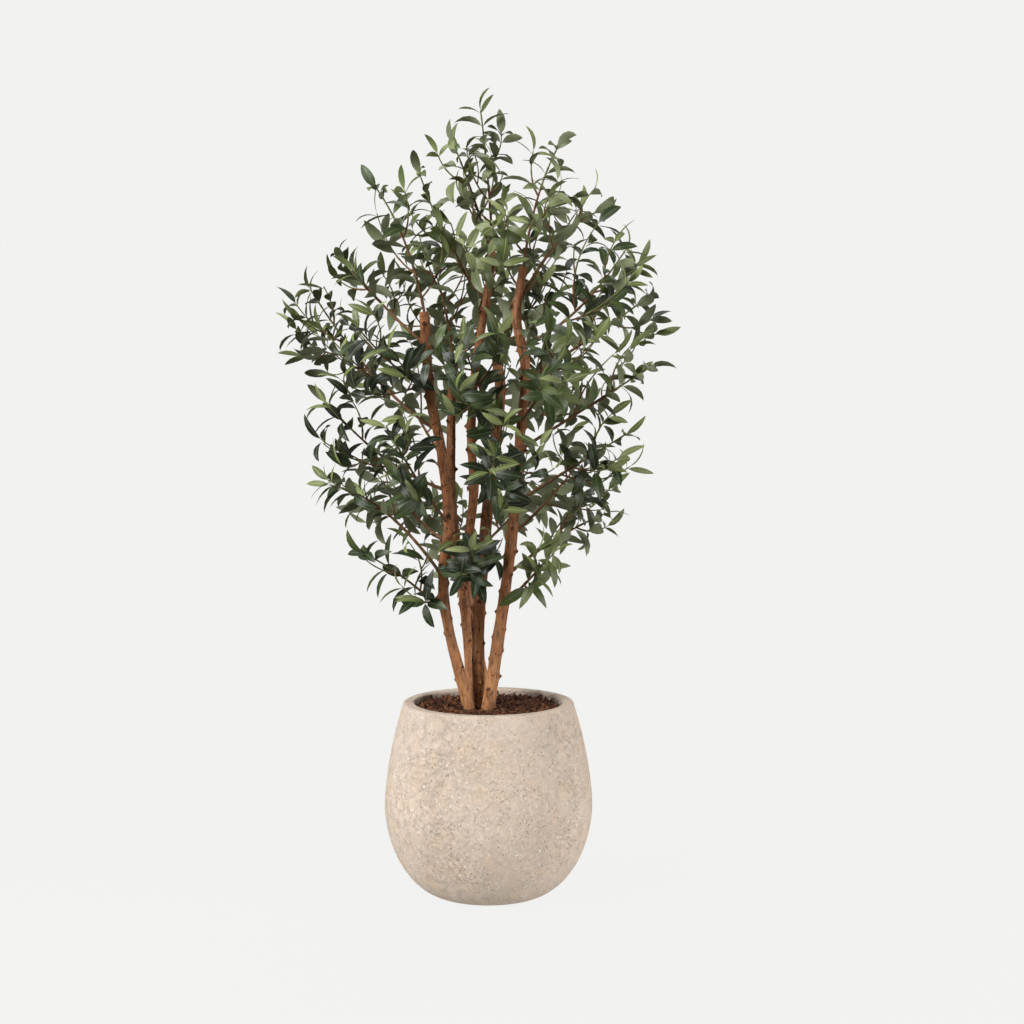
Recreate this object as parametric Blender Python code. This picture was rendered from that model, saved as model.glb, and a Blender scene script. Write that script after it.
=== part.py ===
"""Potted olive tree: natural wood stems with wired leaf sprays in a rounded planter.

Metres, +Z up. The origin is the centre of the planter's flat underside, and the
photograph looks along +Y. Five stems stand in the bark chips, boughs leave drilled
holes in them, and each mass of leaves grows on from a bough's tip or from a stem.
"""

import math
import random

import bmesh
import bpy
import numpy as np
from mathutils import Vector
from mathutils.bvhtree import BVHTree

# Planter, read from its outline in the photograph
PLANTER_HEIGHT = 0.373
BELLY_HEIGHT = 0.1737
BELLY_RADIUS = 0.200
BASE_RADIUS = 0.0863
RIM_RADIUS = 0.1647
RIM_ROUND = 0.0062
WALL = 0.0222
FLOOR_TOP = 0.028
FLOOR_RADIUS = 0.112
LOWER_POWER = 1.893
UPPER_POWER = 1.692
LATHE_SIDES = 36
LOWER_RINGS = 7
UPPER_RINGS = 5

# Clearance that touching pieces keep
SEAT = 0.0003

# Bark chips, level with the stems' flat feet
SOIL_TOP = 0.360
SOIL_EDGE = 0.354
SOIL_FLAT_RADIUS = 0.088

# Stems: radius at foot and top, then centres (x, y, z) that the stem grows through
STEMS = {
    "stem_left": (0.0107, 0.0093, (
        (-0.036, -0.035, 0.3603), (-0.078, -0.042, 0.532), (-0.085, -0.049, 0.622),
        (-0.074, -0.056, 0.726), (-0.086, -0.063, 0.849), (-0.108, -0.070, 0.961),
        (-0.118, -0.080, 1.114))),
    "stem_back": (0.0098, 0.0078, (
        (-0.032, 0.028, 0.3603), (-0.045, 0.031, 0.545), (-0.062, 0.038, 0.660),
        (-0.072, 0.047, 0.814), (-0.067, 0.060, 1.027))),
    "stem_middle": (0.0125, 0.0098, (
        (-0.019, -0.008, 0.3603), (-0.018, -0.007, 0.531), (-0.008, -0.005, 0.674),
        (0.004, -0.004, 0.800), (0.022, -0.001, 0.955), (0.016, 0.000, 1.033))),
    "stem_right": (0.0120, 0.0078, (
        (-0.002, -0.035, 0.3603), (0.028, -0.041, 0.564), (0.047, -0.045, 0.725),
        (0.061, -0.048, 0.895), (0.069, -0.052, 1.007), (0.053, -0.056, 1.103),
        (0.065, -0.060, 1.197))),
    "stem_tall": (0.0104, 0.0070, (
        (0.000, 0.034, 0.3603), (-0.038, 0.060, 0.564), (-0.040, 0.056, 0.661),
        (-0.028, 0.041, 0.777), (-0.033, 0.032, 0.892), (-0.023, 0.030, 1.020),
        (0.003, 0.030, 1.180), (0.007, 0.030, 1.264))),
}
STEM_SIDES = 8
STEM_RING_EVERY = 0.075
ROOT_FLARE = 0.16
ROOT_FLARE_HEIGHT = 0.022

# Sprays: stem, height of the hole (None grows on from the stem's cut top), tip,
# lift of the middle above the straight line, and whether a bare bough carries it
SPRAYS = {
    "low_left": ("stem_left", 0.547, (-0.229, -0.120, 0.670), 0.02, False),
    "left_low": ("stem_left", 0.617, (-0.300, -0.020, 0.790), 0.07, True),
    "left_inner": ("stem_left", 0.687, (-0.215, 0.130, 0.830), -0.05, True),
    "left_front": ("stem_left", 0.720, (-0.173, -0.205, 0.892), -0.02, True),
    "left_mid": ("stem_left", 0.783, (-0.301, -0.060, 0.947), -0.05, True),
    "left_high": ("stem_left", 0.895, (-0.338, 0.030, 1.160), -0.06, True),
    "left_high_front": ("stem_left", 0.966, (-0.235, -0.190, 1.085), -0.02, False),
    "left_shoulder": ("stem_left", 1.053, (-0.271, 0.040, 1.215), -0.02, True),
    "upper_left": ("stem_left", None, (-0.205, -0.100, 1.340), 0.04, False),
    "upper_inner": ("stem_tall", 1.139, (-0.129, 0.020, 1.375), -0.06, False),
    "top_left": ("stem_tall", 1.225, (-0.066, -0.035, 1.430), 0.02, False),
    "leader_tall": ("stem_tall", None, (-0.014, 0.040, 1.496), 0.00, False),
    "leader_right": ("stem_right", None, (0.128, -0.080, 1.415), 0.04, False),
    "right_shoulder": ("stem_right", 1.125, (0.219, 0.050, 1.310), 0.07, True),
    "right_upper": ("stem_right", 1.055, (0.250, -0.120, 1.225), -0.06, True),
    "right_high": ("stem_right", 0.990, (0.305, 0.050, 1.145), -0.01, True),
    "right_mid": ("stem_right", 0.857, (0.300, -0.040, 1.010), 0.00, True),
    "right_mid_low": ("stem_right", 0.758, (0.253, -0.120, 0.890), 0.00, True),
    "right_inner": ("stem_right", 0.697, (0.200, 0.150, 0.850), -0.02, True),
    "right_low": ("stem_right", 0.622, (0.221, -0.020, 0.735), 0.02, True),
    "low_right": ("stem_right", 0.560, (0.120, -0.160, 0.675), 0.00, True),
    "front_low": ("stem_middle", 0.588, (-0.030, -0.240, 0.690), 0.00, False),
    "front_mid": ("stem_middle", 0.740, (0.010, -0.290, 0.860), 0.00, True),
    "front_high": ("stem_middle", 0.905, (-0.046, -0.260, 1.060), -0.02, False),
    "front_top": ("stem_tall", 1.187, (0.035, -0.160, 1.285), -0.02, False),
    "front_right": ("stem_right", 0.914, (0.137, -0.270, 1.055), -0.02, True),
    "back_low": ("stem_back", 0.564, (-0.115, 0.260, 0.715), -0.01, True),
    "back_low_right": ("stem_tall", 0.640, (0.106, 0.270, 0.770), -0.01, True),
    "back_left": ("stem_back", 0.815, (-0.189, 0.270, 1.000), -0.02, True),
    "back_right": ("stem_tall", 0.872, (0.157, 0.290, 1.010), -0.03, True),
    "back_high": ("stem_tall", 1.054, (-0.027, 0.270, 1.220), -0.04, False),
    "leader_back": ("stem_back", None, (-0.120, 0.150, 1.240), 0.03, False),
    "leader_middle": ("stem_middle", None, (0.115, 0.160, 1.240), 0.04, False),
}
HOLE_RADIUS = 0.0034
BOUGH_TIP_RADIUS = 0.0028
BOUGH_SHARE = 0.36
BOUGH_SIDES = 5
BOUGH_RINGS = 3

# Leaves: longer and wider than life, because the solids have fewer of them
LEAF_LENGTH = 0.084
LEAF_WIDTH = 0.031
LEAF_THICK = 0.0018
LEAF_NECK = 0.0006
LEAF_ANGLE = math.radians(48)
LEAF_SHORTFALL = 0.027
SPINE_TIP_RADIUS = 0.0020
TWIG_RADIUS = 0.0022
TWIG_TIP_RADIUS = 0.0017
TWIG_LENGTH = 0.088
TWIG_ANGLE = math.radians(50)
TWIG_PAIRS = ((0.42, 0.78), (0.42, 0.78), (0.5,), (0.5,))
SPINE_RINGS = 5
SPINE_PAIRS = (0.90, 0.50)
TIP_SINK = 0.0006
LEAF_SINK = -0.0003
TRIES = 4
GOLDEN_ANGLE = math.radians(137.5)

# Room that each mass keeps to
REACH = 0.165
SPACE_GAP = 0.0035
LIMB_GAP = 0.0025
LOWEST_LEAF = 0.500

SEED = 27

STONE = ("stone_effect", (206, 189, 173), 0.85)
CHIPS = ("bark_chips", (71, 46, 31), 0.95)
WOOD = ("stem_wood", (142, 94, 62), 0.80)
WIRE = ("bough_brown", (104, 76, 50), 0.75)
LEAF = ("leaf_green", (92, 99, 74), 0.70)


def clear_scene():
    for obj in list(bpy.data.objects):
        bpy.data.objects.remove(obj, do_unlink=True)


def linear(value):
    value /= 255
    return value / 12.92 if value <= 0.04045 else ((value + 0.055) / 1.055) ** 2.4


def material(spec):
    """The Principled material for one of the colour specs above, made once."""
    name, colour, roughness = spec
    found = bpy.data.materials.get(name)
    if found:
        return found
    made = bpy.data.materials.new(name)
    made.use_nodes = True
    shader = made.node_tree.nodes["Principled BSDF"]
    shader.inputs["Base Color"].default_value = (*[linear(c) for c in colour], 1)
    shader.inputs["Roughness"].default_value = roughness
    shader.inputs["Metallic"].default_value = 0
    return made


def mesh_object(name, verts, faces, spec, origin=(0, 0, 0), smooth=False):
    """An object whose mesh is closed, faces out and is measured from its origin."""
    origin = Vector(origin)
    mesh = bpy.data.meshes.new(name)
    mesh.from_pydata([Vector(v) - origin for v in verts], [], faces)
    shape = bmesh.new()
    shape.from_mesh(mesh)
    bmesh.ops.recalc_face_normals(shape, faces=shape.faces)
    bmesh.ops.triangulate(shape, faces=[f for f in shape.faces if len(f.verts) > 4])
    shape.to_mesh(mesh)
    shape.free()
    mesh.materials.append(material(spec))
    for face in mesh.polygons:
        face.use_smooth = smooth
    obj = bpy.data.objects.new(name, mesh)
    obj.location = origin
    bpy.context.scene.collection.objects.link(obj)
    return obj


def lathe(name, profile, spec):
    """Turns a profile of (radius, height) pairs whose ends lie on the axis."""
    verts, faces, rings = [], [], []
    for radius, height in profile:
        if radius < 1e-6:
            rings.append([len(verts)] * LATHE_SIDES)
            verts.append((0, 0, height))
            continue
        start = len(verts)
        rings.append([start + side for side in range(LATHE_SIDES)])
        for side in range(LATHE_SIDES):
            angle = 2 * math.pi * side / LATHE_SIDES
            verts.append((radius * math.cos(angle), radius * math.sin(angle), height))
    for low, high in zip(rings, rings[1:]):
        for side in range(LATHE_SIDES):
            turn = (side + 1) % LATHE_SIDES
            corners = (low[side], low[turn], high[turn], high[side])
            faces.append(tuple(dict.fromkeys(corners)))
    return mesh_object(name, verts, faces, spec, smooth=True)


def outer_radius(height):
    """The planter's outside: a bowl that swells to its belly, then closes to the rim."""
    if height <= BELLY_HEIGHT:
        share = height / BELLY_HEIGHT
        swell = (1 - (1 - share) ** LOWER_POWER) ** (1 / LOWER_POWER)
        return BASE_RADIUS + (BELLY_RADIUS - BASE_RADIUS) * swell
    share = (height - BELLY_HEIGHT) / (PLANTER_HEIGHT - RIM_ROUND - BELLY_HEIGHT)
    return BELLY_RADIUS - (BELLY_RADIUS - RIM_RADIUS) * min(share, 1) ** UPPER_POWER


def outside_heights():
    """Heights of the outside's rings, closer together where the foot curves most."""
    lower = [BELLY_HEIGHT * (ring / LOWER_RINGS) ** 1.7 for ring in range(LOWER_RINGS)]
    rise = PLANTER_HEIGHT - RIM_ROUND - BELLY_HEIGHT
    upper = [BELLY_HEIGHT + rise * ring / UPPER_RINGS for ring in range(UPPER_RINGS + 1)]
    return lower + upper


def round_corner(centre_radius, centre_height, size, start, end, steps=3):
    for step in range(1, steps + 1):
        angle = math.radians(start + (end - start) * step / steps)
        yield (centre_radius + size * math.cos(angle),
               centre_height + size * math.sin(angle))


def cavity_profile(shrink=0.0):
    """The planter's inside from the floor up, or the filling's when shrunk."""
    yield (FLOOR_RADIUS - shrink, FLOOR_TOP + shrink)
    for height in (0.055, 0.105, 0.175, 0.265, 0.345):
        yield (outer_radius(height) - WALL - shrink, height)


def make_planter():
    profile = [(0, 0)]
    profile += [(outer_radius(h), h) for h in outside_heights()]
    rim_height = PLANTER_HEIGHT - RIM_ROUND
    profile += round_corner(RIM_RADIUS - RIM_ROUND, rim_height, RIM_ROUND, 0, 90)
    mouth = RIM_RADIUS - WALL
    profile += [(mouth + 0.004, PLANTER_HEIGHT), (mouth, PLANTER_HEIGHT - 0.004)]
    profile += reversed(list(cavity_profile()))
    profile.append((0, FLOOR_TOP))
    return lathe("planter", profile, STONE)


def make_bark_fill():
    profile = [(0, FLOOR_TOP + SEAT)]
    profile += cavity_profile(SEAT)
    edge = outer_radius(SOIL_EDGE) - WALL - 2 * SEAT
    profile += [(edge, SOIL_EDGE), (0.120, SOIL_TOP - 0.001)]
    profile += [(SOIL_FLAT_RADIUS, SOIL_TOP), (0, SOIL_TOP)]
    return lathe("bark_fill", profile, CHIPS)


def smooth_point(points, place):
    """A Catmull-Rom curve's point, where place runs from 0 to the last index."""
    index = min(int(place), len(points) - 2)
    share = place - index
    p1, p2 = points[index], points[index + 1]
    p0 = points[index - 1] if index > 0 else p1 * 2 - p2
    p3 = points[index + 2] if index + 2 < len(points) else p2 * 2 - p1
    return 0.5 * (2 * p1 + (p2 - p0) * share
                  + (2 * p0 - 5 * p1 + 4 * p2 - p3) * share ** 2
                  + (3 * p1 - p0 - 3 * p2 + p3) * share ** 3)


def stem_path(stem, step=0.01):
    """Centre points of a stem at even heights, foot first."""
    knots = [Vector(p) for p in STEMS[stem][2]]
    fine = [smooth_point(knots, i / 24) for i in range(24 * (len(knots) - 1) + 1)]
    foot, top = knots[0].z, knots[-1].z
    count = max(2, round((top - foot) / step))
    return [path_at_height(fine, foot + (top - foot) * i / count)
            for i in range(count + 1)]


def path_at_height(path, height):
    for low, high in zip(path, path[1:]):
        if high.z >= height:
            share = (height - low.z) / (high.z - low.z)
            return low.lerp(high, max(0.0, min(1.0, share)))
    return path[-1].copy()


def stem_radius(stem, height):
    """Taper from foot to top, with the foot's slight flare."""
    foot_radius, top_radius, knots = STEMS[stem]
    foot, top = knots[0][2], knots[-1][2]
    share = (height - foot) / (top - foot)
    radius = foot_radius + (top_radius - foot_radius) * share
    return radius * (1 + ROOT_FLARE * math.exp(-(height - foot) / ROOT_FLARE_HEIGHT))


def stem_shape(stem, extra=0.0):
    """A stem's rings, level so that foot and top are flat cuts."""
    path = stem_path(stem, 0.004)
    foot, top = path[0].z, path[-1].z
    count = round((top - foot) / STEM_RING_EVERY)
    heights = [foot, foot + 0.018, foot + 0.045]
    heights += [foot + (top - foot) * i / count for i in range(1, count + 1)]
    verts = []
    for height in heights:
        centre = path_at_height(path, height)
        radius = stem_radius(stem, height) + extra
        for side in range(STEM_SIDES):
            angle = 2 * math.pi * side / STEM_SIDES
            verts.append(centre + radius * Vector((math.cos(angle), math.sin(angle), 0)))
    return verts, ring_faces(len(heights), STEM_SIDES)


def ring_faces(rings, sides):
    """Faces of a closed tube whose rings follow one another in the vertex list."""
    faces = [tuple(range(sides))[::-1]]
    for ring in range(rings - 1):
        for side in range(sides):
            turn = (side + 1) % sides
            a, b = ring * sides + side, ring * sides + turn
            faces.append((a, b, b + sides, a + sides))
    faces.append(tuple(range((rings - 1) * sides, rings * sides)))
    return faces


def tube(path, radii, sides):
    """A closed tube of square-cut rings along a path."""
    verts = []
    across = None
    for index, point in enumerate(path):
        ahead = path[min(index + 1, len(path) - 1)] - path[max(index - 1, 0)]
        ahead.normalize()
        if across is None:
            across = ahead.orthogonal()
        across = (across - ahead * across.dot(ahead)).normalized()
        beside = ahead.cross(across)
        for side in range(sides):
            angle = 2 * math.pi * side / sides
            spoke = across * math.cos(angle) + beside * math.sin(angle)
            verts.append(point + spoke * radii[index])
    return verts, ring_faces(len(path), sides)


def spray_curve(name, shortfall=LEAF_SHORTFALL):
    """A function of 0 to 1 along the spray, from its stem's centre to its last twig."""
    stem, hole, tip, lift, _ = SPRAYS[name]
    path = stem_path(stem, 0.004)
    tip = Vector(tip)
    start = path[-1] + Vector((0, 0, SEAT)) if hole is None else path_at_height(path, hole)
    tip -= (tip - start).normalized() * shortfall
    middle = (start + tip) / 2 + Vector((0, 0, lift))
    if hole is None:
        middle = middle * 0.6 + (start + Vector((0, 0, (tip - start).length / 2))) * 0.4
    return lambda t: start * (1 - t) ** 2 + middle * 2 * t * (1 - t) + tip * t * t


def along(curve, start, end, count):
    return [curve(start + (end - start) * i / count) for i in range(count + 1)]


def leave_stem(name, curve):
    """Share of the spray's curve at which it comes out of its stem's bark."""
    stem, hole = SPRAYS[name][:2]
    if hole is None:
        return 0.0
    path = stem_path(stem, 0.004)
    for step in range(1, 400):
        point = curve(step / 400)
        centre = path_at_height(path, point.z)
        away = Vector((point.x - centre.x, point.y - centre.y))
        if away.length > stem_radius(stem, point.z) + SEAT:
            return step / 400
    return 0.0


def make_stems():
    for stem, (_, _, knots) in STEMS.items():
        verts, faces = stem_shape(stem)
        mesh_object(stem, verts, faces, WOOD, knots[0], smooth=True)


def replace_mesh(obj):
    """Applies the object's modifiers."""
    graph = bpy.context.evaluated_depsgraph_get()
    result = bpy.data.meshes.new_from_object(obj.evaluated_get(graph))
    obj.modifiers.clear()
    old = obj.data
    name = old.name
    obj.data = result
    bpy.data.meshes.remove(old)
    result.name = name


def cut_clear(obj, stem):
    """Cuts a limb's root to the stem's bark, with the gap that seated pieces keep."""
    cutter = mesh_object("cutter", *stem_shape(stem, SEAT), WIRE)
    cut = obj.modifiers.new("clear of stem", "BOOLEAN")
    cut.operation = "DIFFERENCE"
    cut.solver = "EXACT"
    cut.object = cutter
    replace_mesh(obj)
    bpy.data.objects.remove(cutter, do_unlink=True)


def make_bough(name):
    """A tapering limb from its hole to the mass, cut clear of the stem's bark."""
    curve = spray_curve(name)
    path = along(curve, 0.0, BOUGH_SHARE, BOUGH_RINGS)
    thin = (BOUGH_TIP_RADIUS - HOLE_RADIUS) / BOUGH_RINGS
    radii = [HOLE_RADIUS + thin * i for i in range(BOUGH_RINGS + 1)]
    verts, faces = tube(path, radii, BOUGH_SIDES)
    hole = curve(leave_stem(name, curve))
    bough = mesh_object("bough_" + name, verts, faces, WIRE, hole, smooth=True)
    cut_clear(bough, SPRAYS[name][0])


class Room:
    """Says whether points lie in a mass's own space and clear of every limb."""

    def __init__(self):
        self.owners = list(SPRAYS)
        self.spine_a, self.spine_b, self.spine_owner = [], [], []
        self.limb_a, self.limb_b, self.limb_radius = [], [], []
        for index, name in enumerate(self.owners):
            self.add_spine(index, name)
        for stem in STEMS:
            path = stem_path(stem, 0.03)
            radii = [stem_radius(stem, p.z) for p in path]
            self.add_limb(path, radii)
        self.spine_a, self.spine_b = np.array(self.spine_a), np.array(self.spine_b)
        self.limb_a, self.limb_b = np.array(self.limb_a), np.array(self.limb_b)
        self.spine_owner = np.array(self.spine_owner)
        self.limb_radius = np.array(self.limb_radius)

    def add_spine(self, index, name):
        curve = spray_curve(name)
        share = BOUGH_SHARE if SPRAYS[name][4] else 0.0
        path = along(curve, share, 1.0, 10)
        self.spine_a += [p[:] for p in path[:-1]]
        self.spine_b += [p[:] for p in path[1:]]
        self.spine_owner += [index] * 10
        if share:
            self.add_limb(along(curve, 0, share * 0.98, 6), [HOLE_RADIUS] * 7)

    def add_limb(self, path, radii):
        self.limb_a += [p[:] for p in path[:-1]]
        self.limb_b += [p[:] for p in path[1:]]
        self.limb_radius += radii[:-1]

    @staticmethod
    def distances(points, a, b):
        """Distance of every point from every straight piece a to b."""
        run = b - a
        offset = points[:, None, :] - a[None]
        share = (offset * run).sum(-1) / (run * run).sum(-1)
        nearest = a[None] + run[None] * np.clip(share, 0, 1)[..., None]
        return np.linalg.norm(points[:, None, :] - nearest, axis=-1)

    def allows(self, name, points):
        points = np.array([p[:] for p in points])
        if points[:, 2].min() < LOWEST_LEAF:
            return False
        away = self.distances(points, self.spine_a, self.spine_b)
        mine = self.spine_owner == self.owners.index(name)
        own = away[:, mine].min(axis=1)
        other = away[:, ~mine].min(axis=1)
        if (own > REACH).any() or (other - own < SPACE_GAP).any():
            return False
        limbs = self.distances(points, self.limb_a, self.limb_b) - self.limb_radius
        return bool((limbs > LIMB_GAP).all())


def leaf_shape(root, ahead, up, length):
    """A keeled blade: a neck sunk in the twig, a wide middle and a pointed tip."""
    side = ahead.cross(up).normalized()
    up = side.cross(ahead).normalized()
    half = LEAF_WIDTH / 2 * length / LEAF_LENGTH
    middle = root + ahead * length * 0.45
    tip = root + ahead * length - up * length * 0.06
    verts = [root + side * LEAF_NECK, root - side * LEAF_NECK,
             root - up * LEAF_NECK, middle + side * half, middle - side * half,
             middle - up * LEAF_THICK, tip]
    faces = [(0, 1, 2), (0, 3, 4, 1), (1, 4, 5, 2), (2, 5, 3, 0),
             (3, 6, 4), (4, 6, 5), (5, 6, 3)]
    return verts, faces


def leaf_samples(verts):
    """Points over a leaf's blade, for asking whether its room allows it."""
    left, right, tip = verts[3], verts[4], verts[6]
    root = (verts[0] + verts[1]) / 2
    corners = [left, right, tip, (left + right) / 2]
    rims = [(left + tip) / 2, (right + tip) / 2, root.lerp(left, 0.5), root.lerp(right, 0.5)]
    return corners + rims + [left.lerp(tip, 0.25), right.lerp(tip, 0.25), left.lerp(tip, 0.75)]


def pair_spokes(ahead, roll):
    """Two opposite directions square to a twig."""
    across = ahead.orthogonal().normalized()
    spoke = across * math.cos(roll) + ahead.cross(across) * math.sin(roll)
    return spoke, -spoke


class Mass:
    """Collects one mass's loose pieces: its spine first, then twigs and leaves."""

    def __init__(self, name, room):
        self.name, self.room = name, room
        self.chance = random.Random(SEED + 101 * list(SPRAYS).index(name))
        self.curve = spray_curve(name)
        self.pieces, self.trees = [], []
        self.stem, self.hole, _, _, self.on_bough = SPRAYS[name]
        self.start = BOUGH_SHARE if self.on_bough else leave_stem(name, self.curve)
        self.roll = self.chance.uniform(0, math.tau)
        self.add_spine()
        self.add_twigs()

    def add(self, shape):
        self.pieces.append(shape)
        self.trees.append(BVHTree.FromPolygons(*shape))

    def heading(self, place):
        return (self.curve(place) - self.curve(place - 0.01)).normalized()

    def add_spine(self):
        """The mass's own stem: it meets its bough or its stem the seat's gap clear."""
        self.origin = self.curve(self.start)
        root = self.start if self.on_bough or self.hole is None else 0.0
        path = along(self.curve, root, 1.0, SPINE_RINGS)
        ahead = (path[1] - path[0]).normalized()
        if self.on_bough:
            path[0] += ahead * SEAT
        elif self.hole is None:
            path[0].z += BOUGH_TIP_RADIUS * math.sqrt(1 - ahead.z ** 2)
        thin = (SPINE_TIP_RADIUS - BOUGH_TIP_RADIUS) / SPINE_RINGS
        radii = [BOUGH_TIP_RADIUS + thin * i for i in range(SPINE_RINGS + 1)]
        self.add(tube(path, radii, 3))

    def add_leaf(self, root, ahead, spoke, angle, joined):
        """A leaf on a twig, unless it leaves the mass's room or would cut a neighbour."""
        length = LEAF_LENGTH * self.chance.uniform(0.90, 1.06)
        lean = (ahead * math.cos(angle) + spoke * math.sin(angle)).normalized()
        shape = leaf_shape(root - lean * LEAF_SINK, lean, ahead if angle else spoke, length)
        if not self.room.allows(self.name, leaf_samples(shape[0])):
            return None
        tree = BVHTree.FromPolygons(*shape)
        for index, other in enumerate(self.trees):
            if index not in joined and tree.overlap(other):
                return None
        self.add(shape)
        return len(self.pieces) - 1

    def add_pair(self, root, ahead, roll, twig):
        """Two opposite leaves, turned a little until both find room."""
        for turn in range(TRIES):
            joined = {twig}
            count = len(self.pieces)
            for spoke in pair_spokes(ahead, roll + turn * math.pi / TRIES):
                angle = LEAF_ANGLE * self.chance.uniform(0.8, 1.2)
                joined.add(self.add_leaf(root, ahead, spoke, angle, joined))
            if len(self.pieces) == count + 2 or turn == TRIES - 1:
                return
            del self.pieces[count:], self.trees[count:]

    def add_twig(self, start, ahead, length, places):
        """A side twig with pairs of leaves along it and one leaf at its end."""
        end = start + ahead * length + Vector((0, 0, length * 0.10))
        ahead = (end - start).normalized()
        course = [start.lerp(end, share) for share in (0.3, 0.5, 0.75, 1.0)]
        if not self.room.allows(self.name, course):
            return False
        shape = tube([start, end], [TWIG_RADIUS, TWIG_TIP_RADIUS], 3)
        tree = BVHTree.FromPolygons(*shape)
        if any(tree.overlap(other) for other in self.trees[1:]):
            return False
        self.add(shape)
        twig = len(self.pieces) - 1
        roll = self.chance.uniform(0, math.tau)
        for place in places:
            self.add_pair(start.lerp(end, place), ahead, roll, twig)
            roll += math.pi / 2
        spoke = pair_spokes(ahead, roll + math.pi / 2)[0]
        self.add_leaf(end - ahead * TIP_SINK, ahead, spoke, 0, {twig})
        return True

    def add_twigs(self):
        share = 1 - self.start
        tip = self.curve(1.0) - self.heading(1.0) * TIP_SINK
        self.add_leaf(tip, self.heading(1.0), pair_spokes(self.heading(1.0), self.roll)[0],
                      0, {0})
        for place in SPINE_PAIRS:
            place = self.start + share * place
            self.add_pair(self.curve(place), self.heading(place), self.roll, 0)
            self.roll += math.pi / 2
        last = len(TWIG_PAIRS) - 1
        for index, pairs in enumerate(TWIG_PAIRS):
            place = self.start + share * (0.14 + 0.62 * index / last)
            length = TWIG_LENGTH * (1.10 - 0.45 * index / last)
            ahead = self.heading(place)
            self.roll += GOLDEN_ANGLE
            for turn in range(TRIES):
                spoke = pair_spokes(ahead, self.roll + turn * math.tau / TRIES)[0]
                angle = TWIG_ANGLE * self.chance.uniform(0.85, 1.15)
                lean = (ahead * math.cos(angle) + spoke * math.sin(angle)).normalized()
                if self.add_twig(self.curve(place), lean, length, pairs):
                    break


def make_mass(name, room):
    """Joins one mass's twigs and leaves into a single closed solid."""
    grown = Mass(name, room)
    mass = mesh_object("leaves_" + name, *grown.pieces[0], LEAF, grown.origin)
    loose = bpy.data.collections.new("loose pieces")
    bpy.context.scene.collection.children.link(loose)
    for shape in grown.pieces[1:]:
        piece = mesh_object("piece", *shape, LEAF, grown.origin)
        bpy.context.scene.collection.objects.unlink(piece)
        loose.objects.link(piece)
    join = mass.modifiers.new("join", "BOOLEAN")
    join.operation = "UNION"
    join.solver = "EXACT"
    join.operand_type = "COLLECTION"
    join.collection = loose
    replace_mesh(mass)
    for piece in list(loose.objects):
        bpy.data.objects.remove(piece, do_unlink=True)
    bpy.data.collections.remove(loose)
    if grown.hole is not None and not grown.on_bough:
        cut_clear(mass, grown.stem)


def main():
    clear_scene()
    make_planter()
    make_bark_fill()
    make_stems()
    room = Room()
    for name in SPRAYS:
        if SPRAYS[name][4]:
            make_bough(name)
    for name in SPRAYS:
        make_mass(name, room)
    tree = bpy.data.objects.new("potted_olive_tree", None)
    bpy.context.scene.collection.objects.link(tree)
    for obj in list(bpy.context.scene.objects):
        if obj is not tree:
            obj.parent = tree


main()
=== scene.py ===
"""Artificial olive tree in a cast stone planter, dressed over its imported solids.

Metres, +Z up, the origin at the centre of the planter's flat underside. The sections
follow the making: planter, bark chips, stems, boughs, twigs, leaves, then the studio.
"""

import math
import random

import bpy
import numpy as np
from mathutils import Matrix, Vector, noise
from mathutils.bvhtree import BVHTree


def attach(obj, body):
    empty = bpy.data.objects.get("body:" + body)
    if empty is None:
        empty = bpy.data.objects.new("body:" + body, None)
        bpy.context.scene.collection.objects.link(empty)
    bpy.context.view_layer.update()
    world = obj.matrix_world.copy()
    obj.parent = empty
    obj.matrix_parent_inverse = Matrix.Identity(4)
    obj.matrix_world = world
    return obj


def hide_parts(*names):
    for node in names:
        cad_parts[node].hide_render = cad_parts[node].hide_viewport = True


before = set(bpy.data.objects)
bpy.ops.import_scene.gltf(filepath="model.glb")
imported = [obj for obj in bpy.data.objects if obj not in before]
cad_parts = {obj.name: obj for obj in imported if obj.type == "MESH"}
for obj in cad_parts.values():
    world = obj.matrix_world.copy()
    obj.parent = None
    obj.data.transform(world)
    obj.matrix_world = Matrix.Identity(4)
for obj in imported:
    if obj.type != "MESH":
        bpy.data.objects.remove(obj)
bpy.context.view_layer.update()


# Planter: a round-bellied pot of cast stone mix, sand-rubbed after casting so that
# fine pits and pale swirls show. It is one piece, turned to an even wall, and it
# stands on its own flat underside.

PLANTER_HEIGHT = 0.373
BELLY_HEIGHT = 0.1737
BELLY_RADIUS = 0.200
BASE_RADIUS = 0.0863
RIM_RADIUS = 0.1647
RIM_ROUND = 0.0062
WALL = 0.0222
FLOOR_TOP = 0.028
FLOOR_RADIUS = 0.112
LOWER_POWER = 1.893
UPPER_POWER = 1.692
PLANTER_SIDES = 240
HAND_WAVER = 0.0006


def linear(code):
    """An sRGB hex code such as #c8b49c as linear red, green, blue and alpha."""
    shares = [int(code[i:i + 2], 16) / 255 for i in (1, 3, 5)]
    return (*[s / 12.92 if s <= 0.04045 else ((s + 0.055) / 1.055) ** 2.4 for s in shares], 1)


def new_material(name, roughness, specular=0.5):
    """A named material, its node tree and its shader."""
    made = bpy.data.materials.new(name)
    made.use_nodes = True
    tree = made.node_tree
    shader = tree.nodes["Principled BSDF"]
    shader.inputs["Roughness"].default_value = roughness
    shader.inputs["Specular IOR Level"].default_value = specular
    return made, tree, shader


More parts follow.
